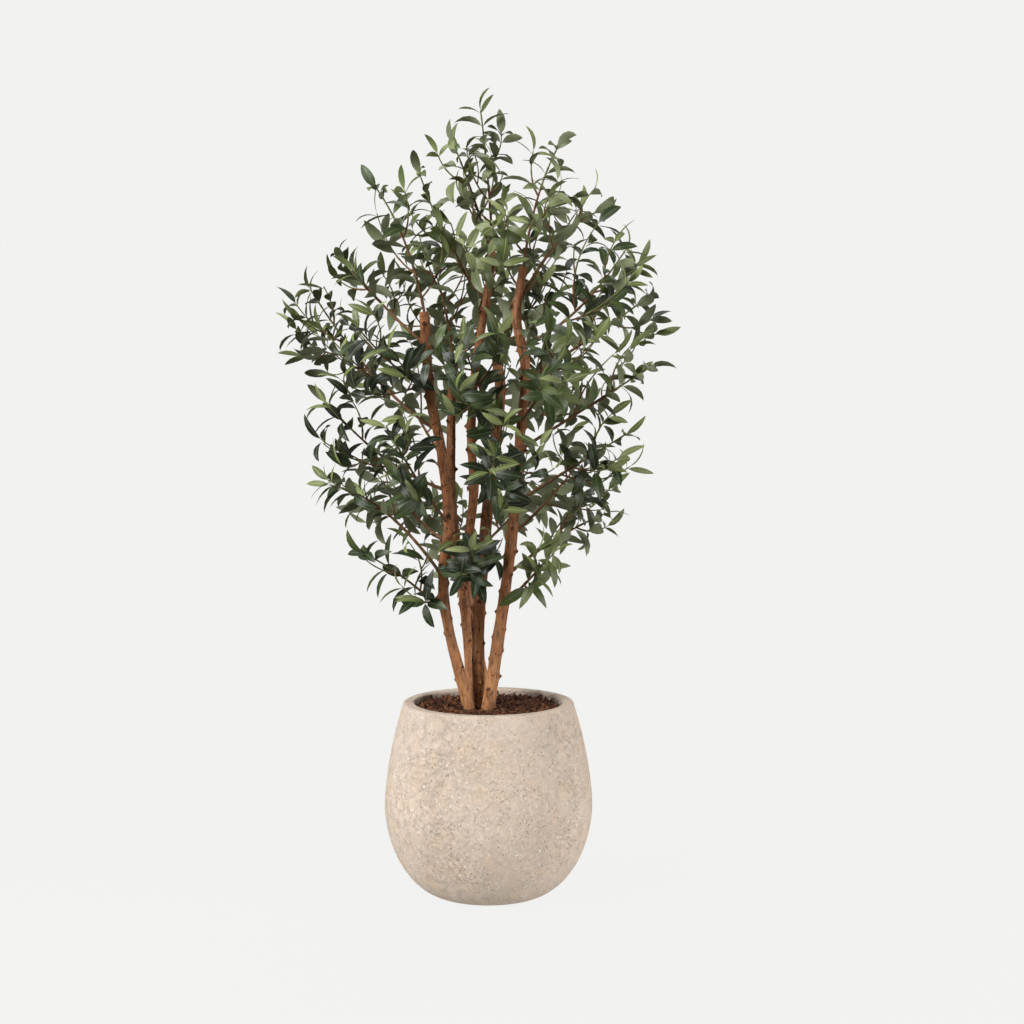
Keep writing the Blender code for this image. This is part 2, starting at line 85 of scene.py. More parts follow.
def add_node(tree, kind, sockets=(), gives=0, **settings):
    """Adds a node with its settings, fills or links its sockets, and gives one output."""
    node = tree.nodes.new("ShaderNode" + kind)
    for name, value in settings.items():
        setattr(node, name, value)
    for socket, value in dict(sockets).items():
        if isinstance(value, bpy.types.NodeSocket):
            tree.links.new(value, node.inputs[socket])
        else:
            node.inputs[socket].default_value = value
    return node.outputs[gives]


def patches(tree, place, size_mm, low, high, detail=2.0, distortion=0.0, ends=(0.0, 1.0)):
    """Soft patches about size_mm across, from ends[0] below low to ends[1] above high."""
    cloud = add_node(tree, "TexNoise", {"Vector": place, "Scale": 1000 / size_mm,
                                        "Detail": detail, "Distortion": distortion})
    return add_node(tree, "MapRange", {"Value": cloud, "From Min": low, "From Max": high,
                                       "To Min": ends[0], "To Max": ends[1]})


def spots(tree, place, cell_mm, share, radii):
    """Round spots in a share of the cells, which are cell_mm across. Radii are in cells."""
    cells = add_node(tree, "TexVoronoi", {"Vector": place, "Scale": 1000 / cell_mm})
    dice = add_node(tree, "SeparateColor", {"Color": cells.node.outputs["Color"]}).node
    present = add_node(tree, "Math", {0: dice.outputs[0], 1: share}, operation="LESS_THAN")
    radius = add_node(tree, "MapRange", {"Value": dice.outputs[1], "To Min": radii[0],
                                         "To Max": radii[1]})
    spot = add_node(tree, "Math", {0: cells, 1: radius}, operation="LESS_THAN")
    return add_node(tree, "Math", {0: spot, 1: present}, operation="MULTIPLY")


def stain(tree, under, share, strength, code):
    """A colour laid over the one under it, where share says and as strong as strength."""
    here = add_node(tree, "Math", {0: share, 1: strength}, operation="MULTIPLY")
    return add_node(tree, "Mix", {0: here, 6: under, 7: linear(code)}, 2, data_type="RGBA")


def piled(tree, *parts):
    """The heights of several patterns, each times its weight, added up."""
    total = 0.0
    for pattern, weight in parts:
        total = add_node(tree, "Math", {0: pattern, 1: weight, 2: total},
                         operation="MULTIPLY_ADD")
    return total


def dress(tree, shader, colour, height, relief_mm, strength):
    """Gives the shader its colour, and the relief in millimetres that height makes."""
    tree.links.new(colour, shader.inputs["Base Color"])
    relief = add_node(tree, "Bump", {"Height": height, "Distance": relief_mm / 1000,
                                     "Strength": strength})
    tree.links.new(relief, shader.inputs["Normal"])


def shaded(name, verts, faces, materials, face_materials=None, sharp_degrees=None):
    """A smooth-shaded object in the frame's own place."""
    mesh = bpy.data.meshes.new(name)
    mesh.from_pydata([tuple(v) for v in verts], [], faces)
    for material in materials:
        mesh.materials.append(material)
    if face_materials is not None:
        mesh.polygons.foreach_set("material_index", face_materials)
    mesh.polygons.foreach_set("use_smooth", [True] * len(mesh.polygons))
    if sharp_degrees:
        mesh.set_sharp_from_angle(angle=math.radians(sharp_degrees))
    made = bpy.data.objects.new(name, mesh)
    bpy.context.scene.collection.objects.link(made)
    return made


def outer_radius(height):
    """The planter's outside: a bowl that swells to its belly, then closes to the rim."""
    if height <= BELLY_HEIGHT:
        share = height / BELLY_HEIGHT
        swell = (1 - (1 - share) ** LOWER_POWER) ** (1 / LOWER_POWER)
        return BASE_RADIUS + (BELLY_RADIUS - BASE_RADIUS) * swell
    share = (height - BELLY_HEIGHT) / (PLANTER_HEIGHT - RIM_ROUND - BELLY_HEIGHT)
    return BELLY_RADIUS - (BELLY_RADIUS - RIM_RADIUS) * min(share, 1) ** UPPER_POWER


def corner_arc(centre_radius, centre_height, size, start, end, steps):
    """Radius and height along a rounded corner, from one angle to another in degrees."""
    for step in range(steps + 1):
        angle = math.radians(start + (end - start) * step / steps)
        yield (centre_radius + size * math.cos(angle), centre_height + size * math.sin(angle))


def planter_outline():
    """Radius and height from the underside's centre, up the outside and down inside."""
    yield from ((0.0, 0.0), (BASE_RADIUS * 0.5, 0.0), (BASE_RADIUS - 0.003, 0.0))
    yield (BASE_RADIUS - 0.0008, 0.0004)
    for ring in range(1, 41):
        height = BELLY_HEIGHT * (ring / 40) ** 1.7
        yield outer_radius(height), height
    rise = PLANTER_HEIGHT - RIM_ROUND - BELLY_HEIGHT
    for ring in range(1, 40):
        height = BELLY_HEIGHT + rise * ring / 40
        yield outer_radius(height), height
    top = PLANTER_HEIGHT - RIM_ROUND
    yield from corner_arc(RIM_RADIUS - RIM_ROUND, top, RIM_ROUND, 0, 90, 8)
    mouth = RIM_RADIUS - WALL
    yield mouth + 0.009, PLANTER_HEIGHT
    yield from corner_arc(mouth + 0.004, PLANTER_HEIGHT - 0.004, 0.004, 90, 180, 5)
    for height in (0.362, 0.355, 0.345, 0.320, 0.265, 0.175, 0.105, 0.055):
        yield outer_radius(height) - WALL, height
    yield FLOOR_RADIUS, FLOOR_TOP
    yield 0.0, FLOOR_TOP


def planter_mesh():
    """The outline turned round, with the small waver that hand rubbing leaves."""
    verts, rings = [], []
    for radius, height in planter_outline():
        if radius == 0:
            rings.append([len(verts)] * PLANTER_SIDES)
            verts.append((0, 0, height))
            continue
        rings.append(range(len(verts), len(verts) + PLANTER_SIDES))
        steady = min(1, height / 0.02)
        for side in range(PLANTER_SIDES):
            angle = 2 * math.pi * side / PLANTER_SIDES
            spot = Vector((math.cos(angle), math.sin(angle), 0))
            at = spot * radius + Vector((0, 0, height))
            waver = noise.noise(at * 14) * 0.8 + noise.noise(at * 60) * 0.15 - 0.9
            verts.append(at + spot * HAND_WAVER * waver * steady)
    faces = []
    for low, high in zip(rings, rings[1:]):
        for side in range(PLANTER_SIDES):
            turn = (side + 1) % PLANTER_SIDES
            faces.append(tuple(dict.fromkeys((low[side], low[turn], high[turn], high[side]))))
    return verts, faces


def cast_stone():
    """Cast stone, sand-rubbed: matt beige with ochre and pink clouds, pale curls and pits,
    with painted shade in the pits and along the sunk curls, and a painted highlight on the rim.
    The sand's grit, under 1 mm, is drawn at 1.8 mm so that it shows."""
    made, tree, shader = new_material("cast_stone_sand_rubbed", 0.86, 0.25)
    place = add_node(tree, "TexCoord", gives="Object")
    warp = add_node(tree, "TexNoise", {"Vector": place, "Scale": 1000 / 35.7, "Detail": 2},
                    "Color")
    loose = add_node(tree, "Mix", {0: 0.012, 4: place, 5: warp}, 1, data_type="VECTOR")
    clouds = patches(tree, place, 75, 0.35, 0.65, 3)
    colour = add_node(tree, "Mix", {0: clouds, 6: linear("#c5b6a8"), 7: linear("#bcab9c")},
                      2, data_type="RGBA")
    ochre = patches(tree, loose, 34, 0.50, 0.70, 3)
    colour = stain(tree, colour, ochre, 0.50, "#c8ad8c")
    pink = patches(tree, warp, 120, 0.52, 0.66)
    colour = stain(tree, colour, pink, 0.30, "#d3b3a4")
    mottle = patches(tree, loose, 9, 0.36, 0.64, 4, 1.2)
    colour = stain(tree, colour, mottle, 0.26, "#c2a98f")
    # Trowel curls: level lines of a distorted noise, two raised and pale, one sunk and darkened
    # as painted shadow beside the curls
    curls = add_node(tree, "TexNoise", {"Vector": loose, "Scale": 1000 / 12, "Detail": 1,
                                        "Distortion": 3.4})
    patchy = patches(tree, place, 22, 0.34, 0.60, ends=(0.35, 1.0))
    lines = []
    for level, wide in ((0.44, 0.036), (0.55, 0.036), (0.495, 0.030)):
        above = add_node(tree, "Math", {0: curls, 1: level}, operation="SUBTRACT")
        away = add_node(tree, "Math", {0: above}, operation="ABSOLUTE")
        line = add_node(tree, "MapRange", {"Value": away, "From Max": wide, "To Min": 1,
                                           "To Max": 0})
        lines.append(add_node(tree, "Math", {0: line, 1: patchy}, operation="MULTIPLY"))
    raised = add_node(tree, "Math", {0: lines[0], 1: lines[1]}, operation="MAXIMUM")
    sunk_painted_shadow = lines[2]
    # Painted shadow: the sunk line is darkened to stand for the shade beside the raised curls
    colour = stain(tree, colour, sunk_painted_shadow, 0.36, "#ac9178")
    colour = stain(tree, colour, raised, 0.90, "#fbf3e8")
    grit = patches(tree, place, 1.8, 0.30, 0.70)
    colour = stain(tree, colour, grit, 0.22, "#a3917c")
    # Pits: holes up to 3 mm across, in loose clusters over the body, darkened inside as painted
    # shade
    cluster = patches(tree, place, 42, 0.40, 0.62, 3, ends=(0.08, 0.85))
    pits_painted_shade = spots(tree, loose, 5.2, cluster, (0.12, 0.28))
    colour = stain(tree, colour, pits_painted_shade, 0.75, "#6b5743")
    height = add_node(tree, "SeparateXYZ", {"Vector": place}, "Z")
    # Painted highlight: the rim's top band, from 350 to 368 mm up, is tinted paler as if lit from
    # above
    rim = add_node(tree, "MapRange", {"Value": height, "From Min": 0.350, "From Max": 0.368})
    colour = stain(tree, colour, rim, 0.15, "#e0d0c0")
    heights = piled(tree, (raised, 1.0), (sunk_painted_shadow, -1.0), (mottle, 0.20), (grit, 0.18),
                    (pits_painted_shade, -1.0))
    dress(tree, shader, colour, heights, 0.5, 1.0)
    rough = add_node(tree, "MapRange", {"Value": mottle, "To Min": 0.80, "To Max": 0.92})
    tree.links.new(rough, shader.inputs["Roughness"])
    return made


planter = shaded("planter_cast_stone", *planter_mesh(), [cast_stone()], sharp_degrees=50)
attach(planter, "root")
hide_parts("planter")


# Bark chips: shredded pine bark poured over the filling that holds the stems. The
# curls lie loose, 12 to 28 mm long, dark red-brown with paler torn fibres.

CHIP_SEED = 411
CHIP_COUNT = 1000
CHIP_LENGTH = (0.012, 0.028)
CHIP_WIDTH = (0.0034, 0.0062)
CHIP_THICK = (0.0012, 0.0026)
CHIP_LIFT = (0.0002, 0.0046)
CHIP_CURLS = (0.3, 0.8, 1.4, 2.2)
CHIP_TILT = 0.22
UPTURNED_EVERY = 6
UPTURNED_TILT = 0.5
MOST_TILT = 0.55
CHIP_STEPS = 4
SOIL_TOP = 0.3605
SOIL_EDGE = 0.3575
SOIL_RADIUS = 0.1405
BED_RINGS = 40
BED_SIDES = 120
STEM_FEET = ((-0.036, -0.035), (-0.032, 0.028), (-0.019, -0.008), (-0.002, -0.035),
             (0.000, 0.034))
STEM_CLEAR = 0.0125


def bed_height(x, y):
    """Height of the heaped filling under the loose chips."""
    share = min(1, math.hypot(x, y) / SOIL_RADIUS)
    lumps = noise.noise(Vector((x, y, 0.3)) * 75) * 0.0016
    return SOIL_TOP + (SOIL_EDGE - SOIL_TOP) * share ** 3 + lumps


def bed_mesh():
    """The filling: its lumpy top, and a plain body down inside the planter."""
    verts = [(0, 0, bed_height(0, 0))]
    for ring in range(1, BED_RINGS + 1):
        radius = SOIL_RADIUS * ring / BED_RINGS
        for side in range(BED_SIDES):
            angle = 2 * math.pi * side / BED_SIDES
            x, y = radius * math.cos(angle), radius * math.sin(angle)
            verts.append((x, y, bed_height(x, y)))
    for radius, height in ((SOIL_RADIUS, 0.340), (0.11, 0.045), (0.0, 0.045)):
        for side in range(BED_SIDES if radius else 1):
            angle = 2 * math.pi * side / BED_SIDES
            verts.append((radius * math.cos(angle), radius * math.sin(angle), height))
    faces = []
    last = len(verts) - 1
    for side in range(BED_SIDES):
        turn = (side + 1) % BED_SIDES
        faces.append((0, 1 + side, 1 + turn))
        for ring in range(BED_RINGS + 1):
            low = 1 + ring * BED_SIDES
            faces.append((low + side, low + BED_SIDES + side, low + BED_SIDES + turn, low + turn))
        low = 1 + (BED_RINGS + 1) * BED_SIDES
        faces.append((low + side, last, low + turn))
    return verts, faces


def chip_shape(centre, lie, across, up, length, width, thick, curl):
    """A torn strip of bark that curls along its length."""
    verts = []
    for step in range(CHIP_STEPS + 1):
        share = step / CHIP_STEPS - 0.5
        angle = curl * share
        reach = math.sin(angle) / curl * length
        rise = (1 - math.cos(angle)) / curl * length
        centre_line = centre + lie * reach + up * rise
        normal = up * math.cos(angle) - lie * math.sin(angle)
        half = width / 2 * (1 - 0.55 * abs(2 * share) ** 2)
        verts += [centre_line + across * half, centre_line - across * half,
                  centre_line - across * half - normal * thick,
                  centre_line + across * half - normal * thick]
    faces = [(0, 1, 2, 3), tuple(range(CHIP_STEPS * 4 + 3, CHIP_STEPS * 4 - 1, -1))]
    for step in range(CHIP_STEPS):
        low = step * 4
        for side in range(4):
            turn = (side + 1) % 4
            faces.append((low + side, low + 4 + side, low + 4 + turn, low + turn))
    return verts, faces


def scatter_chips():
    """Verts, faces and tones of all chips, joined, with the bed first."""
    chance = random.Random(CHIP_SEED)
    verts, faces = bed_mesh()
    tones = [0] * len(faces)
    placed = 0
    while placed < CHIP_COUNT:
        radius = (SOIL_RADIUS - 0.004) * math.sqrt(chance.random())
        turn = chance.uniform(0, math.tau)
        x, y = radius * math.cos(turn), radius * math.sin(turn)
        if any(math.hypot(x - a, y - b) < STEM_CLEAR for a, b in STEM_FEET):
            continue
        placed += 1
        length = chance.uniform(*CHIP_LENGTH)
        heading = chance.uniform(0, math.tau)
        slope = chance.gauss(0, CHIP_TILT if placed % UPTURNED_EVERY else UPTURNED_TILT)
        slope = max(-MOST_TILT, min(MOST_TILT, slope))
        lie = Vector((math.cos(heading) * math.cos(slope), math.sin(heading) * math.cos(slope),
                      math.sin(slope)))
        across = Vector((-math.sin(heading), math.cos(heading), chance.gauss(0, 0.38)))
        across = (across - lie * across.dot(lie)).normalized()
        up = lie.cross(across).normalized()
        centre = Vector((x, y, bed_height(x, y) + chance.uniform(*CHIP_LIFT)
                         + abs(math.sin(slope)) * length * 0.18))
        shape = chip_shape(centre, lie, across, up if up.z > 0 else -up, length,
                           chance.uniform(*CHIP_WIDTH), chance.uniform(*CHIP_THICK),
                           chance.choice(CHIP_CURLS) * chance.choice((-1, 1)))
        base = len(verts)
        verts += [tuple(v) for v in shape[0]]
        faces += [tuple(base + i for i in face) for face in shape[1]]
        tones += [chance.choice(CHIP_TONE_ODDS)] * len(shape[1])
    return verts, faces, tones


def fibrous(name, finish, grain, tones, relief, stretch=1.0):
    """Dry plant matter in two tones: a grain about grain[0] mm wide with its own relief."""
    made, tree, shader = new_material(name, *finish)
    place = add_node(tree, "TexCoord", gives="Object")
    lengthwise = add_node(tree, "Mapping", {"Vector": place, "Scale": (1, 1, stretch)})
    fibre = patches(tree, lengthwise, *grain, 3)
    colour = add_node(tree, "Mix", {0: fibre, 6: linear(tones[0]), 7: linear(tones[1])}, 2,
                      data_type="RGBA")
    dress(tree, shader, colour, fibre, *relief)
    return made


def shredded_bark(name, *tones):
    """Pine bark, torn: dull, with paler torn fibres. The fibres, about 1 mm wide, are
    drawn at 3.4 mm so that they show."""
    return fibrous(name, (0.72, 0.22), (3.4, 0.35, 0.68), tones, (0.4, 0.5), 0.35)


BARK_TONES = (
    # The first tone is worn only by the filling seen between the chips: its dark colour, deepened
    # to near black as painted shade between them
    ("chip_bed_dark_and_shade", "#1a0f09", "#26160e"),
    ("shredded_bark_deep", "#371f13", "#53321e"),
    ("shredded_bark_red", "#48291a", "#694029"),
    ("shredded_bark_brown", "#543422", "#764b31"),
    ("shredded_bark_tan", "#68422a", "#8e6340"),
    ("shredded_bark_black", "#25160e", "#3b2417"),
)
CHIP_TONE_ODDS = (1, 1, 1, 2, 2, 3, 3, 4, 5)

bed_verts, bed_faces, bed_tones = scatter_chips()
chips = shaded("bark_chips_loose", bed_verts, bed_faces,
               [shredded_bark(*tone) for tone in BARK_TONES], bed_tones, sharp_degrees=45)
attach(chips, "root")
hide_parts("bark_fill")


# Stems: five peeled natural branches set upright in the filling. The bare wood is
# orange-brown with dark pores, trimmed side shoots stand off it as short dark
# stubs, and each top is a blunt saw cut.

STEM_SEED = 77
STEMS = {
    "stem_left": (0.0107, 0.0093, (
        (-0.036, -0.035, 0.3603), (-0.078, -0.042, 0.532), (-0.085, -0.049, 0.622),
        (-0.074, -0.056, 0.726), (-0.086, -0.063, 0.849), (-0.108, -0.070, 0.961),
        (-0.118, -0.080, 1.114))),
    "stem_back": (0.0098, 0.0078, (
        (-0.032, 0.028, 0.3603), (-0.045, 0.031, 0.545), (-0.062, 0.038, 0.660),
        (-0.072, 0.047, 0.814), (-0.067, 0.060, 1.027))),
    "stem_middle": (0.0125, 0.0098, (
        (-0.019, -0.008, 0.3603), (-0.018, -0.007, 0.531), (-0.008, -0.005, 0.674),
        (0.004, -0.004, 0.800), (0.022, -0.001, 0.955), (0.016, 0.000, 1.033))),
    "stem_right": (0.0120, 0.0078, (
        (-0.002, -0.035, 0.3603), (0.028, -0.041, 0.564), (0.047, -0.045, 0.725),
        (0.061, -0.048, 0.895), (0.069, -0.052, 1.007), (0.053, -0.056, 1.103),
        (0.065, -0.060, 1.197))),
    "stem_tall": (0.0104, 0.0070, (
        (0.000, 0.034, 0.3603), (-0.038, 0.060, 0.564), (-0.040, 0.056, 0.661),
        (-0.028, 0.041, 0.777), (-0.033, 0.032, 0.892), (-0.023, 0.030, 1.020),
        (0.003, 0.030, 1.180), (0.007, 0.030, 1.264))),
}
ROOT_FLARE = 0.16
ROOT_FLARE_HEIGHT = 0.022
STEM_SIDES = 30
STEM_RING_EVERY = 0.0028
STUB_EVERY = 0.023
STUB_TURN = math.radians(137.5)
STUB_WIDTH = (0.0026, 0.0046)
STUB_STAND = (0.0016, 0.0062)
SEAT = 0.0003


def smooth_point(points, place):
    """A Catmull-Rom curve's point, where place runs from 0 to the last index."""
    index = min(int(place), len(points) - 2)
    share = place - index
    p1, p2 = points[index], points[index + 1]
    p0 = points[index - 1] if index > 0 else p1 * 2 - p2
    p3 = points[index + 2] if index + 2 < len(points) else p2 * 2 - p1
    return 0.5 * (2 * p1 + (p2 - p0) * share
                  + (2 * p0 - 5 * p1 + 4 * p2 - p3) * share ** 2
                  + (3 * p1 - p0 - 3 * p2 + p3) * share ** 3)


def path_at_height(path, height):
    """The point at a height on a path that climbs."""
    for low, high in zip(path, path[1:]):
        if high.z >= height:
            share = (height - low.z) / (high.z - low.z)
            return low.lerp(high, max(0.0, min(1.0, share)))
    return path[-1].copy()


def stem_path(stem, step=0.01):
    """Centre points of a stem at even heights, foot first."""
    knots = [Vector(p) for p in STEMS[stem][2]]
    fine = [smooth_point(knots, i / 24) for i in range(24 * (len(knots) - 1) + 1)]
    foot, top = knots[0].z, knots[-1].z
    count = max(2, round((top - foot) / step))
    return [path_at_height(fine, foot + (top - foot) * i / count) for i in range(count + 1)]


def stem_radius(stem, height):
    """Taper from foot to top, with the foot's slight flare."""
    foot_radius, top_radius, knots = STEMS[stem]
    foot, top = knots[0][2], knots[-1][2]
    share = (height - foot) / (top - foot)
    radius = foot_radius + (top_radius - foot_radius) * share
    return radius * (1 + ROOT_FLARE * math.exp(-(height - foot) / ROOT_FLARE_HEIGHT))


def stem_stubs(stem, chance):
    """Trimmed shoots: height, direction, width and how far each stands off the wood."""
    knots = STEMS[stem][2]
    height = knots[0][2] + 0.02
    turn = chance.uniform(0, math.tau)
    while True:
        height += STUB_EVERY * chance.uniform(0.45, 1.5)
        if height > knots[-1][2] - 0.012:
            return
        turn += STUB_TURN + chance.uniform(-0.6, 0.6)
        yield (height, turn % math.tau, chance.uniform(*STUB_WIDTH),
               chance.uniform(*STUB_STAND))


def stem_mesh(stem):
    """Rings up the stem with ribs, bulges and stubs. The stubs' ends are dark."""
    chance = random.Random(STEM_SEED + list(STEMS).index(stem))
    path = stem_path(stem, STEM_RING_EVERY)
    stubs = list(stem_stubs(stem, chance))
    shift = Vector((chance.uniform(0, 50), chance.uniform(0, 50), 0))
    verts, dark = [], []
    for centre in path:
        radius = stem_radius(stem, centre.z)
        bulge = noise.noise(Vector((shift.x, 3.1, centre.z * 17)))
        for side in range(STEM_SIDES):
            angle = 2 * math.pi * side / STEM_SIDES
            spoke = Vector((math.cos(angle), math.sin(angle), 0))
            rib = noise.noise(shift + Vector((spoke.x * 1.7, spoke.y * 1.7, centre.z * 9)))
            grain = noise.noise(shift + Vector((spoke.x * 6, spoke.y * 6, centre.z * 45)))
            out = radius * (1 + 0.10 * bulge + 0.12 * rib + 0.05 * grain)
            capped = 0.0
            for height, turn, width, stand in stubs:
                rise = centre.z - height
                if abs(rise) > 0.014:
                    continue
                around = (angle - turn + math.pi) % math.tau - math.pi
                away = math.hypot(rise, around * radius)
                collar = math.exp(-(away / (width * 1.9)) ** 2) * stand * 0.45
                stump = stand * 0.75 / (1 + math.exp((away - width * 0.8) / 0.00045))
                out += collar + stump
                if away < width * 0.85:
                    capped = 1.0
            verts.append(centre + spoke * out)
            dark.append(capped)
    rings = len(path)
    faces, looks = [], []
    for ring in range(rings - 1):
        for side in range(STEM_SIDES):
            turn = (side + 1) % STEM_SIDES
            a, b = ring * STEM_SIDES + side, ring * STEM_SIDES + turn
            faces.append((a, b, b + STEM_SIDES, a + STEM_SIDES))
            looks.append(1 if dark[a] + dark[b] + dark[b + STEM_SIDES] > 1.5 else 0)
    last = (rings - 1) * STEM_SIDES
    for share, rise in ((0.90, 0.0004), (0.45, 0.0001)):
        for side in range(STEM_SIDES):
            edge = Vector(verts[last + side])
            lumps = noise.noise(edge * 900) * 0.0002
            verts.append(path[-1].lerp(edge, share) + Vector((0, 0, rise + lumps)))
    verts.append(path[-1])
    for ring in (last, last + STEM_SIDES):
        for side in range(STEM_SIDES):
            turn = (side + 1) % STEM_SIDES
            faces.append((ring + side, ring + turn, ring + turn + STEM_SIDES,
                          ring + side + STEM_SIDES))
            looks.append(2)
    ring = last + 2 * STEM_SIDES
    for side in range(STEM_SIDES):
        faces.append((ring + side, ring + (side + 1) % STEM_SIDES, len(verts) - 1))
        looks.append(2)
    faces.append(tuple(range(STEM_SIDES))[::-1])
    looks.append(0)
    return verts, faces, looks


def peeled_wood():
    """Branch wood, peeled and dried: satin, paler at the foot, with dark pores and stains.
    The grain, about 1 mm wide, is drawn at 2.6 mm so that it shows."""
    made, tree, shader = new_material("branch_wood_peeled", 0.62, 0.35)
    place = add_node(tree, "TexCoord", gives="Object")
    lengthwise = add_node(tree, "Mapping", {"Vector": place, "Scale": (1, 1, 0.10)})
    grain = patches(tree, lengthwise, 2.6, 0.32, 0.70, 4)
    foot, upper = [add_node(tree, "Mix", {0: grain, 6: linear(pale), 7: linear(dark)}, 2,
                            data_type="RGBA")
                   for pale, dark in (("#ac7a4e", "#855634"), ("#99643a", "#6c4022"))]
    height = add_node(tree, "SeparateXYZ", {"Vector": place}, "Z")
    climb = add_node(tree, "MapRange", {"Value": height, "From Min": 0.40, "From Max": 0.58})
    colour = add_node(tree, "Mix", {0: climb, 6: foot, 7: upper}, 2, data_type="RGBA")
    blotches = patches(tree, place, 26, 0.50, 0.68, 3)
    colour = stain(tree, colour, blotches, 0.50, "#5f3a1f")
    drawn_out = add_node(tree, "Mapping", {"Vector": place, "Scale": (1, 1, 0.28)})
    streaks = patches(tree, drawn_out, 6.5, 0.575, 0.65, 3)
    colour = stain(tree, colour, streaks, 0.70, "#4a2c1c")
    # Pores: dark spots up to 4.5 mm across, nearly one in each square centimetre
    pores = spots(tree, place, 6.2, 0.60, (0.12, 0.36))
    colour = stain(tree, colour, pores, 0.85, "#2b1a12")
    dress(tree, shader, colour, piled(tree, (grain, 0.5), (pores, -1.0)), 0.7, 0.6)
    rough = add_node(tree, "MapRange", {"Value": grain, "To Min": 0.52, "To Max": 0.72})
    tree.links.new(rough, shader.inputs["Roughness"])
    return made


def trimmed_ends():
    """The trimmed shoots' ends: dry, almost black, with a crumbly grain of 1.5 mm."""
    return fibrous("trimmed_shoot_dark", (0.85, 0.2), (1.5, 0.3, 0.7),
                   ("#2a1a12", "#553522"), (0.5, 0.7))


def sawn_tops():
    """The stems' sawn tops: pale end grain, greyed, with saw marks of about 2 mm."""
    return fibrous("branch_wood_sawn", (0.85, 0.2), (2.0, 0.3, 0.7),
                   ("#8d6a49", "#5e3f29"), (0.4, 0.6))


wood_finishes = [peeled_wood(), trimmed_ends(), sawn_tops()]
for stem in STEMS:
    stem_verts, stem_faces, stem_looks = stem_mesh(stem)
    branch = shaded(stem.replace("stem", "branch"), stem_verts, stem_faces, wood_finishes,
                    stem_looks, sharp_degrees=55)
    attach(branch, "root")
    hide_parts(stem)


# Boughs: wires of 5 to 6 mm wrapped in brown floral tape, glued into holes drilled
# in the stems, or standing in a stem's cut top. Each tapers towards its spray.

SPRAYS = {
    "low_left": ("stem_left", 0.547, (-0.229, -0.120, 0.670), 0.02, False),
    "left_low": ("stem_left", 0.617, (-0.300, -0.020, 0.790), 0.07, True),
    "left_inner": ("stem_left", 0.687, (-0.215, 0.130, 0.830), -0.05, True),
    "left_front": ("stem_left", 0.720, (-0.173, -0.205, 0.892), -0.02, True),
    "left_mid": ("stem_left", 0.783, (-0.301, -0.060, 0.947), -0.05, True),
    "left_high": ("stem_left", 0.895, (-0.338, 0.030, 1.160), -0.06, True),
    "left_high_front": ("stem_left", 0.966, (-0.235, -0.190, 1.085), -0.02, False),
    "left_shoulder": ("stem_left", 1.053, (-0.271, 0.040, 1.215), -0.02, True),
    "upper_left": ("stem_left", None, (-0.205, -0.100, 1.340), 0.04, False),
    "upper_inner": ("stem_tall", 1.139, (-0.129, 0.020, 1.375), -0.06, False),
    "top_left": ("stem_tall", 1.225, (-0.066, -0.035, 1.430), 0.02, False),
    "leader_tall": ("stem_tall", None, (-0.014, 0.040, 1.496), 0.00, False),
    "leader_right": ("stem_right", None, (0.128, -0.080, 1.415), 0.04, False),
    "right_shoulder": ("stem_right", 1.125, (0.219, 0.050, 1.310), 0.07, True),
    "right_upper": ("stem_right", 1.055, (0.250, -0.120, 1.225), -0.06, True),
    "right_high": ("stem_right", 0.990, (0.305, 0.050, 1.145), -0.01, True),
    "right_mid": ("stem_right", 0.857, (0.300, -0.040, 1.010), 0.00, True),
    "right_mid_low": ("stem_right", 0.758, (0.253, -0.120, 0.890), 0.00, True),
    "right_inner": ("stem_right", 0.697, (0.200, 0.150, 0.850), -0.02, True),
    "right_low": ("stem_right", 0.622, (0.221, -0.020, 0.735), 0.02, True),
    "low_right": ("stem_right", 0.560, (0.120, -0.160, 0.675), 0.00, True),
    "front_low": ("stem_middle", 0.588, (-0.030, -0.240, 0.690), 0.00, False),
    "front_mid": ("stem_middle", 0.740, (0.010, -0.290, 0.860), 0.00, True),
    "front_high": ("stem_middle", 0.905, (-0.046, -0.260, 1.060), -0.02, False),
    "front_top": ("stem_tall", 1.187, (0.035, -0.160, 1.285), -0.02, False),
    "front_right": ("stem_right", 0.914, (0.137, -0.270, 1.055), -0.02, True),
    "back_low": ("stem_back", 0.564, (-0.115, 0.260, 0.715), -0.01, True),
    "back_low_right": ("stem_tall", 0.640, (0.106, 0.270, 0.770), -0.01, True),
    "back_left": ("stem_back", 0.815, (-0.189, 0.270, 1.000), -0.02, True),
    "back_right": ("stem_tall", 0.872, (0.157, 0.290, 1.010), -0.03, True),
    "back_high": ("stem_tall", 1.054, (-0.027, 0.270, 1.220), -0.04, False),
    "leader_back": ("stem_back", None, (-0.120, 0.150, 1.240), 0.03, False),
    "leader_middle": ("stem_middle", None, (0.115, 0.160, 1.240), 0.04, False),
}
BOUGH_SHARE = 0.36
HOLE_RADIUS = 0.0032
BOUGH_TIP_RADIUS = 0.0027
BOUGH_SIDES = 12
BOUGH_STEP = 0.0035
TAPE_LAP = 0.0075
HOLE_COLLAR = 0.30
HOLE_COLLAR_REACH = 0.004


def spray_curve(name):
    """A function of 0 to 1 along the spray, from its stem's centre to its last twig."""
    stem, hole, tip, lift, _ = SPRAYS[name]
    path = stem_path(stem, 0.004)
    tip = Vector(tip)
    start = path[-1] + Vector((0, 0, SEAT)) if hole is None else path_at_height(path, hole)
    middle = (start + tip) / 2 + Vector((0, 0, lift))
    if hole is None:
        middle = middle * 0.6 + (start + Vector((0, 0, (tip - start).length / 2))) * 0.4
    return lambda t: start * (1 - t) ** 2 + middle * 2 * t * (1 - t) + tip * t * t


